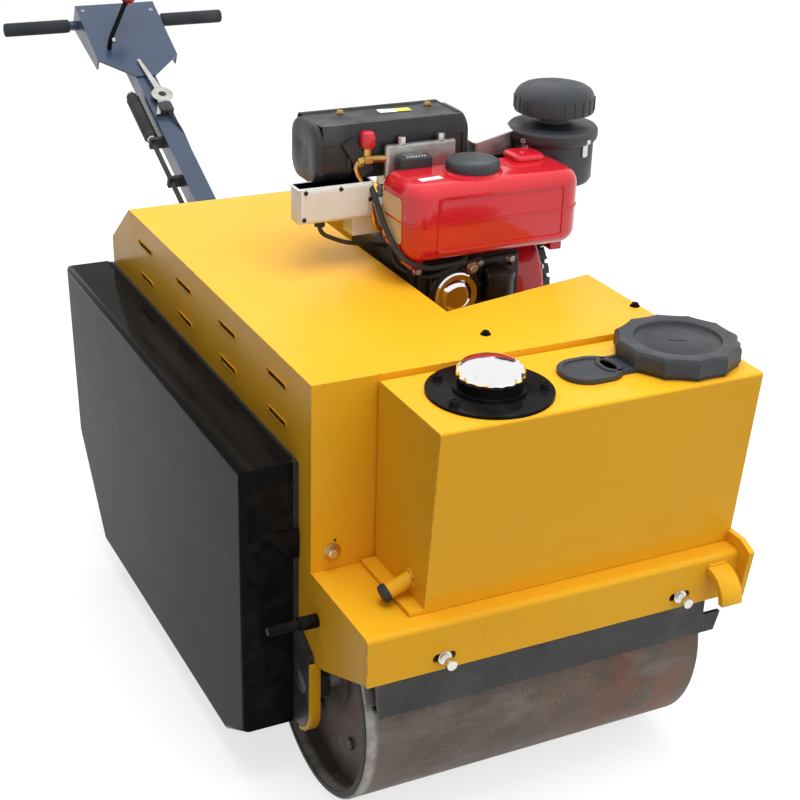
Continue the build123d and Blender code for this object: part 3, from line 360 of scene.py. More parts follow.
def enamel(name, colour, dark, rough=0.16):
    made = Finish(name, colour, rough, Coat_Weight=0.4, Coat_Roughness=0.05)
    made.stain(dark, 0.5, 0.75, 0.5, 8, 4)
    made.dull(rough + 0.18, 0.45, 0.75, 9, 5)
    made.bump(0.0005, 0.12, 200, 2)


bpy.context.scene.view_settings.view_transform = "Standard"
make_camera()
make_floor()
make_sky()
make_lamps()
yellow_paint()
black_paint()
frame_black()
drum_steel()
plain_metal("axle_steel", (0.5, 0.5, 0.5), 0.3)
plain_metal("zinc", (0.72, 0.71, 0.66), 0.28)
mirror_metal("chrome", (0.9, 0.9, 0.9))
moulded("black_plastic", (0.030, 0.034, 0.040), 0.42)
moulded("rubber", (0.018, 0.018, 0.018), 0.55)
moulded("foam", (0.026, 0.03, 0.036), 0.85, grain=900.0, depth=0.001)
moulded("engine_black", (0.012, 0.012, 0.012), 0.36, grain=180.0, depth=0.0012)
plain_metal("engine_grey", (0.50, 0.50, 0.48), 0.45, grain=180.0)
enamel("engine_red", (0.60, 0.010, 0.022), (0.42, 0.006, 0.014))
moulded("muffler_black", (0.014, 0.015, 0.018), 0.36, grain=260.0, depth=0.0008)
enamel("sheet_white", (0.74, 0.75, 0.76), (0.58, 0.59, 0.6), 0.3)
enamel("handle_blue_black", (0.028, 0.05, 0.095), (0.018, 0.032, 0.062), 0.34)
plain_metal("brass", (0.62, 0.42, 0.13), 0.3)
plain_metal("copper", (0.62, 0.27, 0.14), 0.35)
moulded("label_white", (0.72, 0.72, 0.70), 0.5, dust=(0.55, 0.54, 0.5))
moulded("label_yellow", (0.66, 0.66, 0.10), 0.5, dust=(0.5, 0.5, 0.2))
moulded("label_beige", (0.68, 0.52, 0.32), 0.5, dust=(0.5, 0.4, 0.3))


def facing(at, outward, up=(0, 0, 1)):
    """A place whose own z points outward and whose own y is as near to up as it can be."""
    z = Vector(outward).normalized()
    x = Vector(up).cross(z)
    if x.length < 0.01:
        x = Vector((1, 0, 0))
    x.normalize()
    turn = Matrix((x, z.cross(x), z)).transposed().to_4x4()
    return Matrix.Translation(at) @ turn


def moved(x, y, z=0.0):
    return Matrix.Translation((x, y, z))


def along_x(x, y=0.0, z=0.0, out=1):
    """A place whose own z runs along the machine's x, and whose own x and y run to the rear and up."""
    return Matrix(((0, 0, out, x), (out, 0, 0, y), (0, 1, 0, z), (0, 0, 0, 1)))


MACHINE = Matrix.Identity(4)
BEND_STEPS = 4
EDGE_STEPS = 5


class Piece:
    """One object, whose mesh grows in machine millimetres."""

    def __init__(self, name, finish, body="frame"):
        self.name = name
        self.finish = finish
        self.body = body
        self.points = []
        self.faces = []

    def skin(self, rings, place=MACHINE, looped=False):
        """Faces between rings of equally many points, with a flat cap at each end."""
        first = len(self.points)
        count = len(rings[0])
        self.points += [place @ Vector(point) for ring in rings for point in ring]
        for lower in range(len(rings) - (0 if looped else 1)):
            upper = (lower + 1) % len(rings)
            for corner in range(count):
                beside = (corner + 1) % count
                quad = ((lower, corner), (lower, beside), (upper, beside), (upper, corner))
                self.faces.append([first + ring * count + spot for ring, spot in quad])
        if not looped:
            last = first + (len(rings) - 1) * count
            self.faces.append(list(range(first + count - 1, first - 1, -1)))
            self.faces.append(list(range(last, last + count)))

    def turned(self, profile, place, steps=32, swell=None):
        """A turned form about its own z, of rows of radius and height. swell scales a radius."""
        rings = []
        for radius, height in profile:
            ring = []
            for step in range(steps):
                angle = tau * step / steps
                reach = radius * (swell(angle, radius) if swell else 1)
                ring.append((reach * cos(angle), reach * sin(angle), height))
            rings.append(ring)
        self.skin(rings, place)

    def slab(self, outline, low, high, place=MACHINE):
        """An outline between two heights of its own z. The outline runs anticlockwise."""
        self.skin([at_height(outline, low), at_height(outline, high)], place)

    def block(self, low, high):
        """A block between two corners, as a part of a larger piece."""
        outline = ((low[0], low[1]), (high[0], low[1]), (high[0], high[1]), (low[0], high[1]))
        self.slab(outline, low[2], high[2])

    def bar(self, route, radius, sides=12):
        """A round bar or pipe through a route of points."""
        route = [Vector(point) for point in route]
        ways = [(b - a).normalized() for a, b in zip(route, route[1:])]
        side = ways[0].orthogonal().normalized()
        rings = []
        for number, point in enumerate(route):
            before, after = ways[max(number - 1, 0)], ways[min(number, len(ways) - 1)]
            way = (before + after).normalized()
            side = (side - side.dot(way) * way).normalized()
            other = way.cross(side)
            angles = [tau * step / sides for step in range(sides)]
            rings.append([point + radius * (cos(angle) * side + sin(angle) * other) for angle in angles])
        self.skin(rings)

    def hexagon(self, at, outward, across, high, washer=0.0, turn=0.0):
        """A hexagon head or nut, with a washer under it where it has one."""
        place = facing(at, outward) @ Matrix.Rotation(turn, 4, "Z")
        foot = 0.0
        if washer:
            foot = across * 0.12
            self.turned([(washer, 0), (washer, foot * 0.8), (washer * 0.95, foot)], place, 24)
        corner = across / 2 / cos(pi / 6)
        self.turned([(corner, foot), (corner, foot + high * 0.82), (corner * 0.84, foot + high)], place, 6)

    def done(self, bevel=0.0, crease=35.0, replaces=()):
        mesh = bpy.data.meshes.new(self.name)
        mesh.from_pydata([MID + point * MM for point in self.points], [], self.faces)
        mesh.materials.append(FINISHES[self.finish])
        mesh.shade_smooth()
        mesh.set_sharp_from_angle(angle=radians(crease))
        piece = bpy.data.objects.new(self.name, mesh)
        bpy.context.scene.collection.objects.link(piece)
        if bevel:
            soften(piece, bevel, crease)
        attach(piece, self.body)
        if replaces:
            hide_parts(*replaces)


def soften(piece, width, crease=35.0):
    """Round a piece's sharp edges by so many millimetres."""
    made = piece.modifiers.new("rounding", "BEVEL")
    made.width = width * MM
    made.segments = 2
    made.limit_method = "ANGLE"
    made.angle_limit = radians(crease)
    made.harden_normals = True


def rounded(wide, deep, radius, steps=5):
    """A rectangle about the origin with round corners, anticlockwise."""
    outline = []
    for corner, (sx, sy) in enumerate(((1, -1), (1, 1), (-1, 1), (-1, -1))):
        cx, cy = sx * (wide / 2 - radius), sy * (deep / 2 - radius)
        for step in range(steps + 1):
            angle = (corner - 1) * pi / 2 + step / steps * pi / 2
            outline.append((cx + radius * cos(angle), cy + radius * sin(angle)))
    return outline


def at_height(outline, height, wide=1, deep=1):
    """A ring of an outline at a height, scaled where the shares aren't 1."""
    return [(x * wide, y * deep, height) for x, y in outline]


def curved(route, reach):
    """A route with its corners rounded, starting so far before each."""
    route = [Vector(point) for point in route]
    smooth = [route[0]]
    for before, corner, after in zip(route, route[1:], route[2:]):
        start = corner + (before - corner).normalized() * min(reach, (before - corner).length / 2)
        end = corner + (after - corner).normalized() * min(reach, (after - corner).length / 2)
        for step in range(BEND_STEPS + 1):
            t = step / BEND_STEPS
            smooth.append((1 - t) ** 2 * start + 2 * t * (1 - t) * corner + t**2 * end)
    return smooth + [route[-1]]


def cushion(size_x, size_y, low, high, corner, edge):
    """Rings of a rounded box about the origin, edges rounded all the way round."""
    rings = []
    for end in (-1, 1):
        for step in range(EDGE_STEPS + 1):
            angle = (step / EDGE_STEPS if end < 0 else 1 - step / EDGE_STEPS) * pi / 2
            inset = edge * (1 - sin(angle))
            height = (low + edge if end < 0 else high - edge) + end * edge * cos(angle)
            outline = rounded(size_x - 2 * inset, size_y - 2 * inset, max(corner - inset, 1.0))
            rings.append(at_height(outline, height))
    return rings


def arm_spot(x, along, height=0.0):
    """A machine place on the handle arm: so far along it from the pivot, and above its middle line."""
    return Vector((x, PIN.y, PIN.z)) + along * ARM_WAY + height * ARM_UP


def console_spot(x, along, height=0.0):
    """A machine place on the console's plate, along it from its tip."""
    tip = arm_spot(0, (CONSOLE_TIP_Y - PIN.y) / ARM_WAY.y)
    base = tip + Vector((0, 0, ARM_DEEP / 2 / ARM_WAY.y))
    return Vector((x, 0, 0)) + base + along * CONSOLE_WAY + height * CONSOLE_UP


def bolts(name, spots, outward, across=13.0, high=6.0, washer=10.0, bevel=0.4):
    """A row of zinc hexagon bolts as one piece."""
    piece = Piece(name, "zinc")
    for number, spot in enumerate(spots):
        piece.hexagon(spot, outward, across, high, washer, number * 0.7)
    piece.done(bevel=bevel)


def button_screws(name, finish, spots, outward, radius, high, body="frame"):
    """A row of round-headed screws with a hollow in each head."""
    piece = Piece(name, finish, body)
    for number, spot in enumerate(spots):
        place = facing(spot, outward) @ Matrix.Rotation(number * 0.9, 4, "Z")
        rows = [(1.35, 0), (1.35, 1.4), (1, 1.6), (1, high * 0.7), (0.8, high)]
        rows += [(0.5, high), (0.45, high - 2.5)]
        piece.turned([(share * radius, height) for share, height in rows], place, 18)
    piece.done()


def weld(name, route, radius):
    """A yellow weld bead: a rippled round bar along a route."""
    piece = Piece(name, "yellow_paint")
    route = [Vector(point) for point in route]
    for start, end in zip(route, route[1:]):
        count = max(2, int((end - start).length / (radius * 1.1)))
        profile = []
        for step in range(count):
            for share, swell in ((0.0, 0.78), (0.5, 1.0)):
                profile.append((radius * swell, (step + share) * (end - start).length / count))
        piece.turned(profile, facing(start, end - start), 8)
    piece.done(crease=80)


def single(name, finish, form, *values, body="frame", **finishing):
    """A piece of one form, which is one of Piece's methods."""
    piece = Piece(name, finish, body)
    form(piece, *values)
    piece.done(**finishing)


def lathe(name, finish, rows, place, steps=28, crease=40, body="frame"):
    single(name, finish, Piece.turned, rows, place, steps, body=body, crease=crease)


def hose(name, finish, route, reach, radius, body="frame", sides=12, crease=60):
    """A piece of one round bar, its corners rounded from so far before each."""
    single(name, finish, Piece.bar, curved(route, reach), radius, sides, body=body, crease=crease)


def sticker(name, finish, wide, high, at, outward, turn=0.0):
    """A blank label: a thin plate with round corners."""
    piece = Piece(name, finish)
    place = facing(at, outward) @ Matrix.Rotation(turn, 4, "Z")
    piece.slab(rounded(wide, high, min(wide, high) * 0.12), 0, 0.7, place)
    piece.done()


# Front tank and its fittings
BREATHER_SCREW_CIRCLE = 83.0
BREATHER_SCREW_ANGLES = (60, 134, 202, 338)


def make_breather():
    spots = []
    for degrees in BREATHER_SCREW_ANGLES:
        angle = radians(degrees)
        x = KNOB.x + BREATHER_SCREW_CIRCLE * cos(angle)
        spots.append((x, KNOB.y + BREATHER_SCREW_CIRCLE * sin(angle), TANK.top + 5))
    button_screws("breather_screws", "black_paint", spots, OUT_UP, 7.5, 9)

    reach = (KNOB.right - KNOB.left) / 2
    high = KNOB.top - KNOB.low
    cap = Piece("breather_cap", "chrome")
    profile = [(0.84, 0), (0.93, 0.03), (0.99, 0.12), (1, 0.3), (0.985, 0.5), (0.95, 0.62), (0.9, 0.72)]
    profile += [(0.8, 0.83), (0.65, 0.91), (0.45, 0.965), (0.22, 0.995), (0.02, 1)]

    def flutes(angle, radius):
        return 1 - 0.035 * (0.5 - 0.5 * cos(18 * angle)) * (radius > reach * 0.92)

    rows = [(radius * reach, height * high) for radius, height in profile]
    cap.turned(rows, moved(KNOB.x, KNOB.y, KNOB.low), 144, flutes)
    cap.done(crease=60, replaces=("breather_knob",))


LID_X = 250.0
LID_R = 101.0
LID_RECESS_R = 70.0


def make_filler_lid():
    """Twelve flats with shallow hollows round a dished lid, its pull tab and the lug of its strap."""
    lid = Piece("filler_lid", "black_plastic")
    high = LID.top - LID.low
    centre = moved(LID_X, LID.y, LID.low)

    def lobes(angle, radius):
        return 1 - 0.055 * abs(cos(6 * angle)) ** 0.7 * (radius > LID_R * 0.85)

    rows = [(0.93, 0), (0.97, 1), (0.975, 5), (1, 7), (1, high - 7), (0.985, high - 3), (0.95, high)]
    profile = [(share * LID_R, height) for share, height in rows]
    profile += [(LID_RECESS_R + 3, high), (LID_RECESS_R, high - 1), (LID_RECESS_R - 2, high - 6)]
    profile += [(52, high - 7), (50, high - 5.6), (6, high - 5.2)]
    lid.turned(profile, centre, 144, lobes)
    for outline, middle, inset in (
        (rounded(104, 86, 40, 8), LID_X - 160, 9),
        (rounded(70, 58, 22, 6), LID_X - 108, 9),
        (rounded(54, 34, 12, 6), LID_X + 92, 6),
    ):
        inner = [(x * (1 - inset / 50), y * (1 - inset / 43)) for x, y in outline]
        rings = [at_height(outline, 0.5), at_height(outline, 7.5), at_height(outline, 9, 0.97, 0.97)]
        rings += [at_height(inner, 9), at_height(inner, 6.5, 0.98, 0.98)]
        lid.skin(rings, moved(middle, LID.y, LID.low))
    lid.slab(rounded(30, 3.2, 1.5), high - 5.4, high - 4.4, centre @ Matrix.Rotation(-0.5, 4, "Z"))
    lid.done(crease=40, replaces=("filler_cap",))


HOOD_BOLT_X, HOOD_BOLT_Z = -296.0, 444.0


def make_tank_details():
    seam = (TANK.front + 34, TANK.low + 2)
    weld("tank_weld_front", [(TANK.left + 4, *seam), (TANK.right - 4, *seam)], 2.6)
    drain = ((-533, 441), (-533, 455), (-520, 464), (-507, 455))
    weld("drain_weld", [(TANK.left - 1, y, z) for y, z in drain], 2.6)
    bolts("hood_corner_bolt", [(HOOD_BOLT_X, HOOD.front - 1.5, HOOD_BOLT_Z)], OUT_FRONT, 15, 9, 0)
    rows = [(15.5, 0), (15.5, 1.6), (14.8, 2), (8, 2)]
    washer_place = facing((HOOD_BOLT_X, HOOD.front, HOOD_BOLT_Z), OUT_FRONT)
    lathe("hood_corner_washer", "brass", rows, washer_place, crease=35)
    # Painted shade: a small dark disc on the hood's front standing in for the shade inside a tiny hole
    hole_place = facing((-290, HOOD.front, 464), OUT_FRONT)
    lathe("hood_hole_shade", "rubber", [(2.6, 0), (2.6, 0.4), (1.5, 0.5)], hole_place, 16, 35)


DECK_RIGHT = 310.0
DECK_BOLT_Z = 432.0


def make_deck_screws():
    screws = [(6, -316, HOOD.top), (301, -303, HOOD.top)]
    button_screws("deck_screws", "black_paint", screws, OUT_UP, 6.5, 6)
    sides = [(DECK_RIGHT, y, DECK_BOLT_Z) for y in (-360, -270, -180, 370, 580)]
    bolts("deck_side_bolts", sides, OUT_RIGHT)
    bolts("rear_wall_bolts", [(x, HOOD.rear, DECK_BOLT_Z) for x in (-290, -60, 60, 270)], OUT_REAR)


SCRAPER_BOLTS_X = (-202.0, 227.0)
SCRAPER_BOLTS_Z = 352.0
THREAD_PITCH = 1.6


def make_scraper_bolts():
    """Threaded studs through the bumpers' slots, each with a washer and a round head at the outer end."""
    piece = Piece("scraper_bolts", "zinc")
    for face, out in ((BUMPER.front, -1), (TAIL.rear, 1)):
        for x in SCRAPER_BOLTS_X:
            place = facing((x, face - out * 14, SCRAPER_BOLTS_Z), (0, out, 0))
            profile = [(6.2, 0)]
            for turn in range(18):
                profile += [(6.4, 1 + turn * THREAD_PITCH), (5.7, 1.8 + turn * THREAD_PITCH)]
            piece.turned(profile + [(6.2, 31)], place, 20)
            piece.turned([(11.5, 14.5), (11.5, 16), (11, 16.5)], place, 28)
            piece.turned([(9.2, 30), (9.4, 30.5), (9.4, 36.5), (8.4, 39.5), (6, 40.6)], place, 24)
    piece.done(crease=40, replaces=("scraper_studs",))


def make_hook_welds():
    face = BUMPER.front
    weld("hook_weld", [(278, face - 1, 397), (312, face - 1, 397)], 2.8)
    weld("end_plate_weld", [(343, face - 6, 334), (343, face - 6, 410)], 3)
    weld("rail_weld_left", [(BUMPER.left + 1, -597, 333), (BUMPER.left + 1, -597, 405)], 2.2)


SLOT_PLACES = [(y, z) for z in (690.0, 626.0) for y in (404.0, 184.0, -36.0, -256.0)]


BENT_LIP = 6


def make_slot_lips():
    """The turned-out lip of each cooling slot, with one bent in its middle."""
    lips = Piece("slot_lips", "yellow_paint")
    for number, (y, z) in enumerate(SLOT_PLACES):
        sag = 1.6 if number == BENT_LIP else 0.0
        outline = rounded(79, 9, 4.4, 4)
        outer = [(x * 1.03, h * 1.45 - 0.6 - sag * (abs(x) < 20)) for x, h in outline]
        rings = [at_height(outer, 0), at_height(outer, 1.3), at_height(outline, 1.5), at_height(outline, -2)]
        lips.skin(rings, facing((HOOD.left, y, z), OUT_LEFT), looped=True)
    lips.done(crease=50)


def make_cover_details():
    """A black plate on the drive cover's front face, standing in for a darker reflection there (painted
    reflection), and the seam along its top.
    """
    # Painted reflection: a black plate drawn where the glossy front of the cover shows a darker reflection
    reflection_plate = Piece("cover_reflection_plate", "black_paint")
    outline = [(-333, 470), (-333, 420), (-345, 420), (COVER.left + 30, 470)]
    reflection_plate.slab(outline, 0, 5, facing((0, COVER.front, 0), OUT_FRONT))
    reflection_plate.done(bevel=0.8)
    seam = [(COVER.right, y, COVER.top + 0.5) for y in (COVER.front + 12, COVER.rear - 14)]
    hose("cover_seam", "black_paint", seam, 0, 2.4)


AXLE_BOLT_CIRCLE = 58.0


def make_bearing_bolts():
    """Flange bolts and a stepped cap round each axle's end, on the right plate."""
    right_bolts = Piece("bearing_bolts_right", "zinc")
    for axle in AXLES:
        for step in range(4):
            angle = pi / 4 + step * pi / 2
            z = axle.z + AXLE_BOLT_CIRCLE * sin(angle)
            if z < RIGHT_RAIL.low + 60:
                spot = (RIGHT_PLATE.right, axle.y + AXLE_BOLT_CIRCLE * cos(angle), z)
                right_bolts.hexagon(spot, OUT_RIGHT, 17, 9, 13, step)
    right_bolts.done(bevel=0.5)
    caps = Piece("axle_caps_right", "black_paint")
    for axle in AXLES:
        place = facing((RIGHT_PLATE.right, axle.y, axle.z), OUT_RIGHT)
        caps.turned([(78, 0), (78, 5), (74, 7), (46, 7), (44, 13), (30, 16), (10, 16.5)], place, 48)
    caps.done(crease=40)


# Engine
FUEL_LOW = 779.0
FUEL_SEAM_Z = 846.0


def make_fuel_tank():
    """A pressed tank with round edges, a bordered front panel and a red filler neck."""
    tank = Piece("fuel_tank_shell", "engine_red")
    wide, deep = FUEL.right - FUEL.left, FUEL.rear - FUEL.front
    middle = moved(FUEL.x, FUEL.y)
    tank.skin(cushion(wide, deep, FUEL_LOW, FUEL.top, 40, 26), middle)
    tank.slab(rounded(wide + 3, deep + 3, 41), FUEL_SEAM_Z, FUEL_SEAM_Z + 3, middle)
    neck = moved(FUEL_CAP.x, FUEL_CAP.y, FUEL.top - 3)
    tank.turned([(54, 0), (53, 4), (46, 7), (42, 8), (42, 10), (40, 11)], neck, 40)
    tank.skin(cushion(62, 60, 0, 15, 14, 7), moved(252, 8, FUEL.top - 4))
    for x in (10.0, 290.0):
        tank.block((x - 11, -60, 758), (x + 11, -20, 784))
    tank.done(crease=32, replaces=("fuel_tank",))

    border = Piece("fuel_panel_border", "engine_red")
    outer, inner = rounded(252, 100, 9), rounded(240, 88, 5)
    rings = [at_height(outer, -2), at_height(outer, 1.8, 0.995, 0.99)]
    rings += [at_height(inner, 1.8), at_height(inner, -2, 0.99, 0.985)]
    border.skin(rings, facing((FUEL.x + 6, FUEL.front, FUEL_SEAM_Z), OUT_FRONT), looped=True)
    border.done(crease=50)

    cap = Piece("fuel_cap_lobed", "black_plastic")

    def lobes(angle, radius):
        return 1 - 0.02 * (0.5 + 0.5 * cos(24 * angle)) * (radius > 44)

    rows = [(43, 0), (47.5, 1), (48, 3), (48, 14), (46.5, 18), (43, 20.5), (36, 21.4), (34, 20.6), (8, 21.6)]
    cap.turned(rows, moved(FUEL_CAP.x, FUEL_CAP.y, FUEL_CAP.low), 120, lobes)
    cap.done(crease=40, replaces=("fuel_cap",))


FITTING = (-34.0, 56.0)


def make_fuel_details():
    """Blank labels on the tank, and the gauge, fittings and hoses left of it."""
    sticker("fuel_label_left", "label_beige", 72, 80, (FUEL.left - 0.2, -28, FUEL_SEAM_Z), OUT_LEFT, 0.03)
    sticker("fuel_label_top", "label_white", 44, 15, (36, -50, FUEL.top + 0.1), OUT_UP, 0.1)
    single(
        "gauge_clip", "black_plastic", Piece.skin, cushion(62, 26, 908, 934, 5, 4), moved(42, 26), crease=40
    )
    ribs = Piece("gauge_ribs", "zinc")
    for step in range(7):
        ribs.skin(cushion(4, 22, 930, 936.5, 2, 1.5), moved(25 + step * 5.6, 26))
    ribs.done(crease=40)
    rows = [(7, 0), (12, 2), (14, 8), (14, 22), (12, 28), (7, 31)]
    lathe("red_knob", "engine_red", rows, moved(*FITTING, 946))
    brass = Piece("brass_fitting", "brass")
    brass.hexagon((*FITTING, 922), OUT_UP, 22, 12)
    brass.turned([(8, 0), (8, 14), (6, 16)], moved(*FITTING, 934), 20)
    brass.bar([(0, 52, 926), (*FITTING, 928), (-50, 54, 924)], 7)
    brass.hexagon((-44, 55, 925), (-1, -0.1, -0.1), 17, 10)
    brass.done(bevel=0.5)
    route = [(-52, 54, 924), (-60, 52, 914), (-42, 50, 880), (-30, 50, 862), (-18, 50, 800), (14, 50, 790)]
    hose("fuel_pipe", "brass", route, 14, 4.5)
    route = [(-30, 50, 884), (-32, 30, 872), (-33, -20, 826), (-28, -70, 786), (20, -78, 762)]
    hose("fuel_hose", "rubber", route + [(104, -60, 760), (120, -32, 760)], 24, 5)
    route = [(8, 40, 778), (-2, 0, 742), (40, -46, 730), (92, -48, 748), (150, -34, 752)]
    hose("breather_hose", "rubber", route, 24, 4.5)


CRANK_X, CRANK_Z = 100.0, 690.0
BANJO_X, BANJO_Z = 131.0, 738.0


def make_engine_front():
    """Cover, banjo bolt, oil filter and casting ribs on the crankcase's front, and its bolts."""
    face = CASE.front
    rows = [(43, 0), (43, 3), (40, 5), (34, 3), (30, 3), (26, 9), (18, 12), (4, 12.5)]
    lathe("crank_cover", "chrome", rows, facing((CRANK_X, face - 11, CRANK_Z), OUT_FRONT), 48)
    ring = Piece("crank_cover_ring", "engine_black")
    ring.turned([(54, 0), (54, 8), (50, 11), (43, 11)], facing((CRANK_X, face, CRANK_Z), OUT_FRONT), 48)
    for step in range(6):
        angle = tau * step / 6 + 0.3
        ring.hexagon((CRANK_X + 49 * cos(angle), face - 10, CRANK_Z + 49 * sin(angle)), OUT_FRONT, 9, 5)
    ring.done(bevel=0.5)
    bolts("banjo_bolt", [(BANJO_X, face - 12, BANJO_Z)], OUT_FRONT, 15, 8, 0, bevel=0.5)
    rows = [(13, 0), (13, 10), (12, 12), (8, 12)]
    lathe("copper_ring", "copper", rows, facing((BANJO_X, face, BANJO_Z), OUT_FRONT))
    rows = [(22, 0), (25, 4), (25, 58), (27, 60), (27, 70), (22, 74), (8, 75)]
    lathe("oil_filter", "engine_black", rows, moved(180, -56, 662), 36)
    ribs = Piece("case_ribs", "engine_black")
    for x in (26.0, 50.0, 150.0, 214.0):
        ribs.block((x - 2.5, face - 8, 560), (x + 2.5, face + 4, 740))
    for z in (575.0, 620.0, 748.0):
        ribs.block((CASE.left + 6, face - 5, z - 2.5), (CASE.right - 6, face + 4, z + 2.5))
    ribs.done(bevel=1.2)
    spots = [(x, face, z) for x in (26, 150, 214) for z in (596, 742)]
    bolts("case_bolts_front", spots, OUT_FRONT, 11, 7, 9)
    rear = [(x, CASE.rear, z) for x in (26, 80, 150, 214) for z in (560, 740)]
    bolts("case_bolts_rear", rear, OUT_REAR, 11, 7, 9)
    feet = [(x, y, BED.top) for x in (40, 207) for y in (-38, 223)]
    bolts("bed_bolts", feet, OUT_UP, 15, 9, 13)


ROCKER_TOP = 950.0
INTAKE_X, INTAKE_Y = 226.0, 86.0
INTAKE_SLOPE = 0.22


def make_rocker_cover():
    """A cast cover with cap nuts between the fuel tank and the muffler, and the intake's elbow and plate."""
    cover = Piece("rocker_cover", "engine_grey")
    front, rear = FUEL.rear + 1, MUFFLER.front - 1
    y = (front + rear) / 2
    cover.skin(cushion(138, rear - front, CASE.top, ROCKER_TOP, 7, 5), moved(66, y))
    cover.slab(rounded(150, rear - front, 7), CASE.top + 30, CASE.top + 37, moved(66, y))
    for x in (16.0, 42.0, 90.0, 116.0):
        cover.block((x - 2, front + 1, 880), (x + 2, front + 5, 944))
    cover.done(bevel=1)
    bolts("rocker_nuts", [(30, y, ROCKER_TOP), (106, y, ROCKER_TOP)], OUT_UP, 13, 11, 8)
    place = facing((INTAKE_X, INTAKE_Y, 938), (-INTAKE_SLOPE, 0, 1), OUT_REAR)
    single("intake_plate", "label_white", Piece.slab, rounded(88, 44, 8), 0, 3, place, bevel=0.6)
    rings = []
    for share in (0, 0.35, 0.7, 1):
        rings.append([(x, y, 905 + share * (33 + INTAKE_SLOPE * x)) for x, y in rounded(80, 38, 10)])
    single("intake_elbow", "engine_grey", Piece.skin, rings, moved(INTAKE_X, INTAKE_Y), bevel=1)


MUFFLER_BODY_LOW = 880.0


def make_muffler_details():
    """A folded shield over the top, its screws and blank labels, the bracket and the pressed end caps."""
    front, rear, top = MUFFLER.front, MUFFLER.rear, MUFFLER.top
    centre = (MUFFLER.y, (MUFFLER_BODY_LOW + top) / 2)
    deep, high, long = rear - front, top - MUFFLER_BODY_LOW, MUFFLER.right - MUFFLER.left
    shield = Piece("muffler_shield", "muffler_black")
    outer = [(front + 1, top - 34), (front + 1, top - 8), (front + 6, top + 1), (front + 13, top + 1)]
    outer += [(front + 16, top - 2), (rear - 16, top - 2), (rear - 13, top + 1), (rear - 6, top + 1)]
    outer += [(rear - 1, top - 8), (rear - 1, top - 34)]
    inner = [(y + (1.8 if y < MUFFLER.y else -1.8), z - 2) for y, z in outer[1:-1]]
    inner = [(front + 2.8, top - 34)] + inner + [(rear - 2.8, top - 34)]
    shield.slab(outer + inner[::-1], 0, 272, along_x(MUFFLER.left + 11))
    shield.done(bevel=0.6)
    can = Piece("muffler_can", "muffler_black")
    rings = []
    for inset, along in ((3, 5), (3, 60), (1.5, 62), (1.5, 66), (3, 68), (3, long - 5)):
        rings.append(at_height(rounded(deep - 2 * inset, high - 2 * inset, 32, 6), along))
    can.skin(rings, along_x(MUFFLER.left, *centre))
    can.bar([(120, MUFFLER.y, HEAD.top), (120, MUFFLER.y, MUFFLER_BODY_LOW + 6)], 20, 24)
    can.done(bevel=0.5, replaces=("muffler",))
    caps = Piece("muffler_end_caps", "muffler_black")
    for x, out in ((MUFFLER.left, 1), (MUFFLER.right, -1)):
        rings = []
        for inset, height in ((40, 1.5), (28, -1.5), (10, -2), (3, 0.5), (0, 5), (0, 12), (3, 14), (6, 14)):
            outline = rounded(deep - 2 * inset, high - 2 * inset, max(34 - inset, 8), 6)
            rings.append(at_height(outline, height))
        caps.skin(rings, along_x(x, *centre, out))
    caps.done(crease=45)
    screws = [(-45, 148, top - 1.5), (128, 148, top - 1.5)]
    button_screws("muffler_screws", "brass", screws, OUT_UP, 5.5, 6)
    sticker("muffler_label", "label_white", 34, 22, (40, 134, top - 1.5), OUT_UP, -0.1)
    sticker("muffler_label_half", "label_yellow", 28, 20, (70, 132, top - 1.4), OUT_UP, -0.1)
    place = facing((-70, front - 1, 962), (35, -4, -56), OUT_REAR)
    single("muffler_bracket", "muffler_black", Piece.slab, rounded(26, 6, 1.5), 0, 70, place, bevel=0.6)
    outlet = [(140, rear - 6, 908), (140, rear + 22, 908), (140, rear + 40, 888)]
    hose("muffler_outlet", "muffler_black", outlet, 14, 14, sides=20, crease=50)


CLEANER_X = 343.0
CLEANER_Y = 62.0


def make_air_cleaner():
    """Can, rim, neck and ribbed mushroom top turned in one, and the duct to the cylinder."""
    piece = Piece("air_cleaner_shell", "black_plastic")
    rows = [(64, 850), (72, 853), (76, 860), (76, 926), (79, 929), (82, 933), (83, 937), (83, 948)]
    rows += [(79, 953), (68, 955), (46, 956), (32, 960), (30, 965), (30, 974), (40, 976), (68, 977.5)]
    rows += [(72, 979), (73, 984), (73, 1004), (71, 1012), (66, 1019), (58, 1024), (44, 1027.6)]
    rows += [(25, 1029.4), (6, 1029.8)]
    piece.turned(rows, moved(CLEANER_X, CLEANER_Y), 64)
    for step in range(24):
        angle = tau * step / 24
        place = moved(CLEANER_X + 73 * cos(angle), CLEANER_Y + 73 * sin(angle), 982)
        piece.turned([(1.6, 0), (1.6, 24), (0.8, 26)], place, 6)
    piece.slab(rounded(46, 56, 11), -5, 130, facing((200, 100, 897), OUT_RIGHT, OUT_REAR))
    piece.slab(rounded(12, 50, 3), CASE.top, 899, moved(202, 100))
    piece.done(crease=38, replaces=("air_cleaner",))
    clips = Piece("cleaner_clips", "zinc")
    for degrees in (200, 20, 110, 290):
        out = Vector((cos(radians(degrees)), sin(radians(degrees)), 0))
        spot = Vector((CLEANER_X, CLEANER_Y, 922)) + out * 76
        clips.slab(rounded(14, 30, 4), 0, 2.5, facing(spot, out))
        clips.slab(rounded(10, 8, 2), 2.5, 9, facing(spot + Vector((0, 0, 14)), out))
    clips.done(bevel=0.5)


SHROUD_SCREW_CIRCLE = 111.0


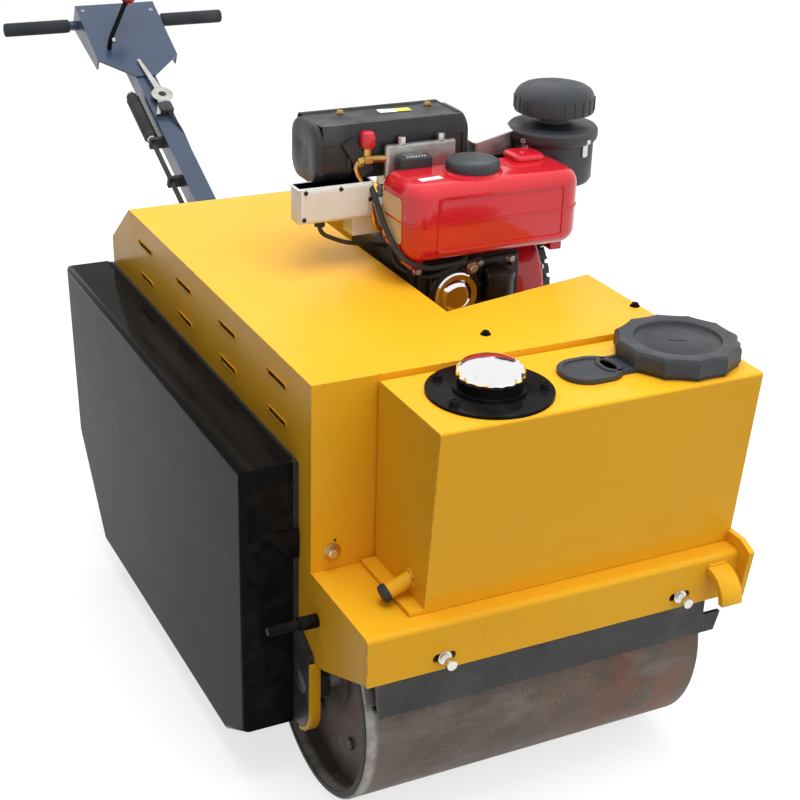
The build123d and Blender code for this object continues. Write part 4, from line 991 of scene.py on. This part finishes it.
def make_recoil_details():
    """Screws round the shroud, the louvred ring's hub and the pull grip."""
    spots = []
    for step in range(8):
        angle = tau * step / 8 + 0.35
        y = SHROUD.y + SHROUD_SCREW_CIRCLE * cos(angle)
        spots.append((SHROUD.right - 2, y, SHROUD.z + SHROUD_SCREW_CIRCLE * sin(angle)))
    bolts("shroud_screws", spots, OUT_RIGHT, 9, 5, 8)
    band = Piece("recoil_band", "engine_black")
    place = facing((RING.left, RING.y, RING.z), OUT_RIGHT)
    for step in range(32):
        spot = place @ Matrix.Rotation(tau * step / 32, 4, "Z") @ moved(84, 0, 19)
        band.slab(rounded(34, 5, 1.5, 2), 0, 3.5, spot)
    band.turned([(62, 18), (62, 26), (56, 30), (30, 31), (28, 29), (6, 29)], place, 48)
    band.done(crease=40)
    turn = facing((RING.right - 12, RING.y - 92, RING.z + 92), (0.2, -0.7, 0.7))
    single("pull_grip", "rubber", Piece.skin, cushion(60, 18, 0, 20, 8, 6), turn, crease=45)


RELAY_LEFT, RELAY_RIGHT = -168.0, -26.0
RELAY_FRONT, RELAY_REAR = 44.0, 82.0
RELAY_LOW, RELAY_TOP = 826.0, 890.0


def make_relay_box():
    """The engine's box left of the tank, its lid, blank plate, screws, gland and cable."""
    box = Piece("relay_box", "sheet_white")
    x, y = (RELAY_LEFT + RELAY_RIGHT) / 2, (RELAY_FRONT + RELAY_REAR) / 2
    wide, deep = RELAY_RIGHT - RELAY_LEFT, RELAY_REAR - RELAY_FRONT
    box.skin(cushion(wide, deep, RELAY_LOW, RELAY_TOP, 5, 3), moved(x, y))
    box.skin(cushion(wide - 6, 58, 0, 4, 4, 1.5), facing((x, RELAY_FRONT, 859), OUT_FRONT))
    box.block((RELAY_LEFT - 2, RELAY_FRONT - 3, RELAY_TOP - 2), (RELAY_RIGHT + 2, RELAY_REAR + 2, RELAY_TOP))
    box.block((-60, 58, 800), (-54, 94, RELAY_LOW + 6))
    box.done(bevel=0.6)
    sticker("box_plate", "label_white", 118, 50, (x, RELAY_FRONT - 4.1, 858), OUT_FRONT)
    screws = ((RELAY_LEFT + 12, 884), (-90, 884), (RELAY_RIGHT - 8, 860), (RELAY_LEFT + 9, 836))
    spots = [(x, RELAY_FRONT - 4, z) for x, z in screws]
    button_screws("box_screws", "rubber", spots, OUT_FRONT, 3, 2.5)
    cable = Piece("box_cable", "rubber")
    route = [(-120, 63, 830), (-120, 64, 800), (-70, 66, 776), (10, 70, 760), (20, 70, 752)]
    cable.bar(curved(route, 20), 4)
    cable.hexagon((-120, 63, 814), OUT_UP, 18, 12)
    cable.done(crease=50)


# Handle
LEVER_X = -62.0
THROTTLE_X = 13.0
THROTTLE_ALONG = 723.0
THROTTLE_RISE = 11.0
ROD_X = -48.0


BALL_R = 20.0
BALL_INSET = 19.0
LEVER_BEND_ALONG = 112.0


def make_travel_lever():
    """A bent black lever out of the console's slot, whose shaded opening is drawn as a dark sheet of painted
    shade, with a nut at its bend and a red ball.
    """
    # Painted shade: a thin dark sheet on the console where the slot's opening lies in shade
    slot = Piece("console_slot_shade", "rubber", "handle")
    slot.slab(rounded(24, 158, 12), 4, 4.6, facing(console_spot(LEVER_X, 157), CONSOLE_UP, CONSOLE_WAY))
    slot.done()
    ball_at = (LEVER.x, LEVER.front + BALL_INSET, LEVER.top - BALL_INSET)
    lever = Piece("lever_bar", "black_paint", "handle")
    route = [console_spot(LEVER_X, LEVER_BEND_ALONG, height) for height in (2, 34)]
    lever.bar(curved(route + [ball_at], 12), 6)
    lever.done(crease=60, replaces=("travel_lever",))
    angles = [step / 14 * pi for step in range(1, 14)]
    rows = [(BALL_R * sin(angle), -BALL_R * cos(angle)) for angle in angles]
    rows = [(7, -26)] + rows + [(1, 20)]
    lathe("lever_ball", "engine_red", rows, facing(ball_at, CONSOLE_UP), 36, 60, "handle")
    nut = Piece("lever_nut", "zinc", "handle")
    nut.hexagon(console_spot(LEVER_X + 4, LEVER_BEND_ALONG, 30), (1, 0, 0.1), 15, 8)
    nut.done(bevel=0.5)


def make_throttle():
    """A flat zinc lever with a round eye and two tongues, on a black stud and block, and its cable."""
    lever = Piece("throttle_lever", "zinc", "handle")
    plane = facing(arm_spot(0, 0, ARM_DEEP / 2 + THROTTLE_RISE), ARM_UP, ARM_WAY)
    for tip_x, tip_along, tip_half in ((-4.0, 866.0, 4.0), (-20.0, 650.0, 5.0)):
        outline = [(THROTTLE_X - 9, THROTTLE_ALONG), (THROTTLE_X + 9, THROTTLE_ALONG)]
        outline += [(tip_x + tip_half, tip_along), (tip_x - tip_half, tip_along)]
        if tip_along < THROTTLE_ALONG:
            outline.reverse()
        lever.slab(outline, 0.4, 3.6, plane)
    eye = plane @ moved(THROTTLE_X, THROTTLE_ALONG)
    lever.turned([(26, 0), (27, 1), (27, 4), (25, 6), (23, 7.5), (15, 8), (13, 5.5), (10, 4.5)], eye, 40)
    lever.done(bevel=0.6)
    rows = [(10, -THROTTLE_RISE), (10, 0.5), (9.5, 4.6), (8, 5.2)]
    lathe("throttle_stud", "rubber", rows, eye, crease=50, body="handle")
    block = Piece("throttle_block", "black_plastic", "handle")
    block.skin(cushion(34, 34, 0, 20, 5, 3), facing(arm_spot(6, 673, ARM_DEEP / 2), ARM_UP, ARM_WAY))
    block.done(crease=40)
    route = ((8, 658, 34), (24, 610, 26), (28, 540, 10), (28, 300, -4), (28, 120, -10))
    hose("throttle_cable", "rubber", [arm_spot(*spot) for spot in route], 40, 3, "handle")
    ties = Piece("cable_ties", "black_plastic", "handle")
    for along in (180, 330, 480):
        ties.slab(rounded(7, 16, 2), 0, 6.5, facing(arm_spot(25, along, -5), OUT_RIGHT, ARM_UP))
    ties.done(bevel=0.5)


BOOT_PITCH = 14.0
CLIP_WIDE = 35.0


def make_control_rod():
    """The rod on the arm's left side with its ribbed boot, zinc fittings and three clips."""
    start = (ROD.front - PIN.y) / ARM_WAY.y + 4
    end = (ROD.rear - PIN.y) / ARM_WAY.y - 8
    rod = Piece("control_rod", "rubber", "handle")
    rod.bar([arm_spot(ROD_X, start), arm_spot(ROD_X, end)], 6, 16)
    rows = [(9, 0), (13, 3)]
    for step in range(11):
        foot = 8 + step * BOOT_PITCH
        rows += [(16.5, foot), (16.5, foot + 4), (13.5, foot + 7), (13.5, foot + 9)]
    rod.turned(rows + [(13, 166), (8, 170)], facing(arm_spot(ROD_X, end - 176), ARM_WAY), 28)
    for along in (start + 8, start + 210, end - 190):
        rod.slab(rounded(CLIP_WIDE, 30, 4), -5, 5, facing(arm_spot(ROD_X + 7.5, along), ARM_WAY))
    rod.done(bevel=0.5, replaces=("damper",))
    rings = Piece("boot_fittings", "zinc", "handle")
    for along, radius in ((end - 186, 9), (end - 178, 11), (end - 4, 9)):
        place = facing(arm_spot(ROD_X, along), ARM_WAY)
        rings.turned([(radius, -4), (radius, 4), (radius * 0.8, 5)], place, 20)
    rings.done(crease=40)


def make_handle_details():
    spots = [console_spot(x, along, 4) for x, along in ((88, 250), (-88, 262))]
    button_screws("console_screws", "zinc", spots, CONSOLE_UP, 5, 4, "handle")
    nuts = Piece("pin_nuts", "zinc")
    for x, out in ((PIN.left + 1, OUT_LEFT), (PIN.right - 1, OUT_RIGHT)):
        nuts.turned([(14, -8), (14, -6), (13, -5)], facing((x, PIN.y, PIN.z), out), 28)
        nuts.hexagon((x - 5 * out[0], PIN.y, PIN.z), out, 24, 8)
    nuts.done(bevel=0.6)
    for side, x in (("left", -31), ("right", 31)):
        weld(f"bracket_weld_{side}", [(x, TAIL.rear + 1, 347), (x, TAIL.rear + 1, 410)], 3)


def make_peg():
    rows = [(11, 0), (11.5, 1), (11.5, 31), (11, 32), (8, 32.5), (8, 82), (6.5, 84)]
    lathe("side_peg", "black_paint", rows, facing((LEFT_RAIL.left, -419, 342), OUT_LEFT), 32)


def make_end_plate():
    """The bent plate over the bumper's right end, and the strip beside the tank's left foot."""
    outline = [(-540, 331), (-540, 433), (-604, 433), (-632, 421), (-618, 331)]
    rings = [[(x, y, z) for y, z in outline] for x in (RIGHT_RAIL.left - 3, RIGHT_RAIL.right + 2)]
    single("bumper_end_plate", "yellow_paint", Piece.skin, [ring[::-1] for ring in rings], bevel=1.6)
    strip = Piece("tank_foot_strip", "yellow_paint")
    strip.block((TANK.left - 25, -569, HOOD.low), (TANK.left + 2, HOOD.front - 3, HOOD.low + 8))
    strip.done(bevel=1.2)


def make_grips():
    for side, span in (("left", LEFT_GRIP), ("right", RIGHT_GRIP)):
        piece = Piece(f"foam_grip_{side}", "foam", "handle")
        long = span.right - span.left
        rows = [(12, 0), (15.2, 1), (16.6, 4)]
        for step in range(26):
            at = 6 + step * (long - 12) / 26
            rows += [(17, at), (16.5, at + (long - 12) / 52)]
        rows += [(16.6, long - 4), (15.2, long - 1), (12, long)]
        piece.turned(rows, facing((span.left, span.y, span.z), OUT_RIGHT), 32)
        piece.done(crease=50, replaces=(f"grip_{side}",))


SOFT_EDGES = {
    # rounding in millimetres: nodes
    4.0: ("handle_arm",),
    2.0: ("hood", "rear_housing"),
    1.6: ("bumper_front", "bumper_rear"),
    1.5: ("front_tank", "rail_left", "rail_right", "terminal_box", "tie_hook", "plate_bracket"),
    1.2: ("console",),
    1.0: ("handle_bracket", "engine_bed", "engine_block"),
    0.8: ("scraper_front", "scraper_rear"),
    0.6: ("side_cover",),
}
JOIN_REACH = 0.00002
FLAT_ANGLE = 0.5
FOLD_ANGLE = 28.0


def dress_nodes():
    """Give every CAD node its finish, and join the doubled corners and round the folds of the nodes in
    SOFT_EDGES.
    """
    for row in frame["record"]["subparts"]:
        node = frame["nodes"][row["node"]]
        node.data.materials.clear()
        node.data.materials.append(FINISHES[row["material_slot"]])
    for width, names in SOFT_EDGES.items():
        for name in names:
            node = frame["nodes"][name]
            joined = node.modifiers.new("joined", "WELD")
            joined.merge_threshold = JOIN_REACH
            flat = node.modifiers.new("flat_faces", "DECIMATE")
            flat.decimate_type = "DISSOLVE"
            flat.angle_limit = radians(FLAT_ANGLE)
            soften(node, width, FOLD_ANGLE)


dress_nodes()
make_breather()
make_filler_lid()
make_tank_details()
make_deck_screws()
make_scraper_bolts()
make_hook_welds()
make_slot_lips()
make_cover_details()
make_bearing_bolts()
make_fuel_tank()
make_fuel_details()
make_engine_front()
make_rocker_cover()
make_muffler_details()
make_air_cleaner()
make_recoil_details()
make_relay_box()
make_travel_lever()
make_throttle()
make_control_rod()
make_handle_details()
make_peg()
make_end_plate()
make_grips()
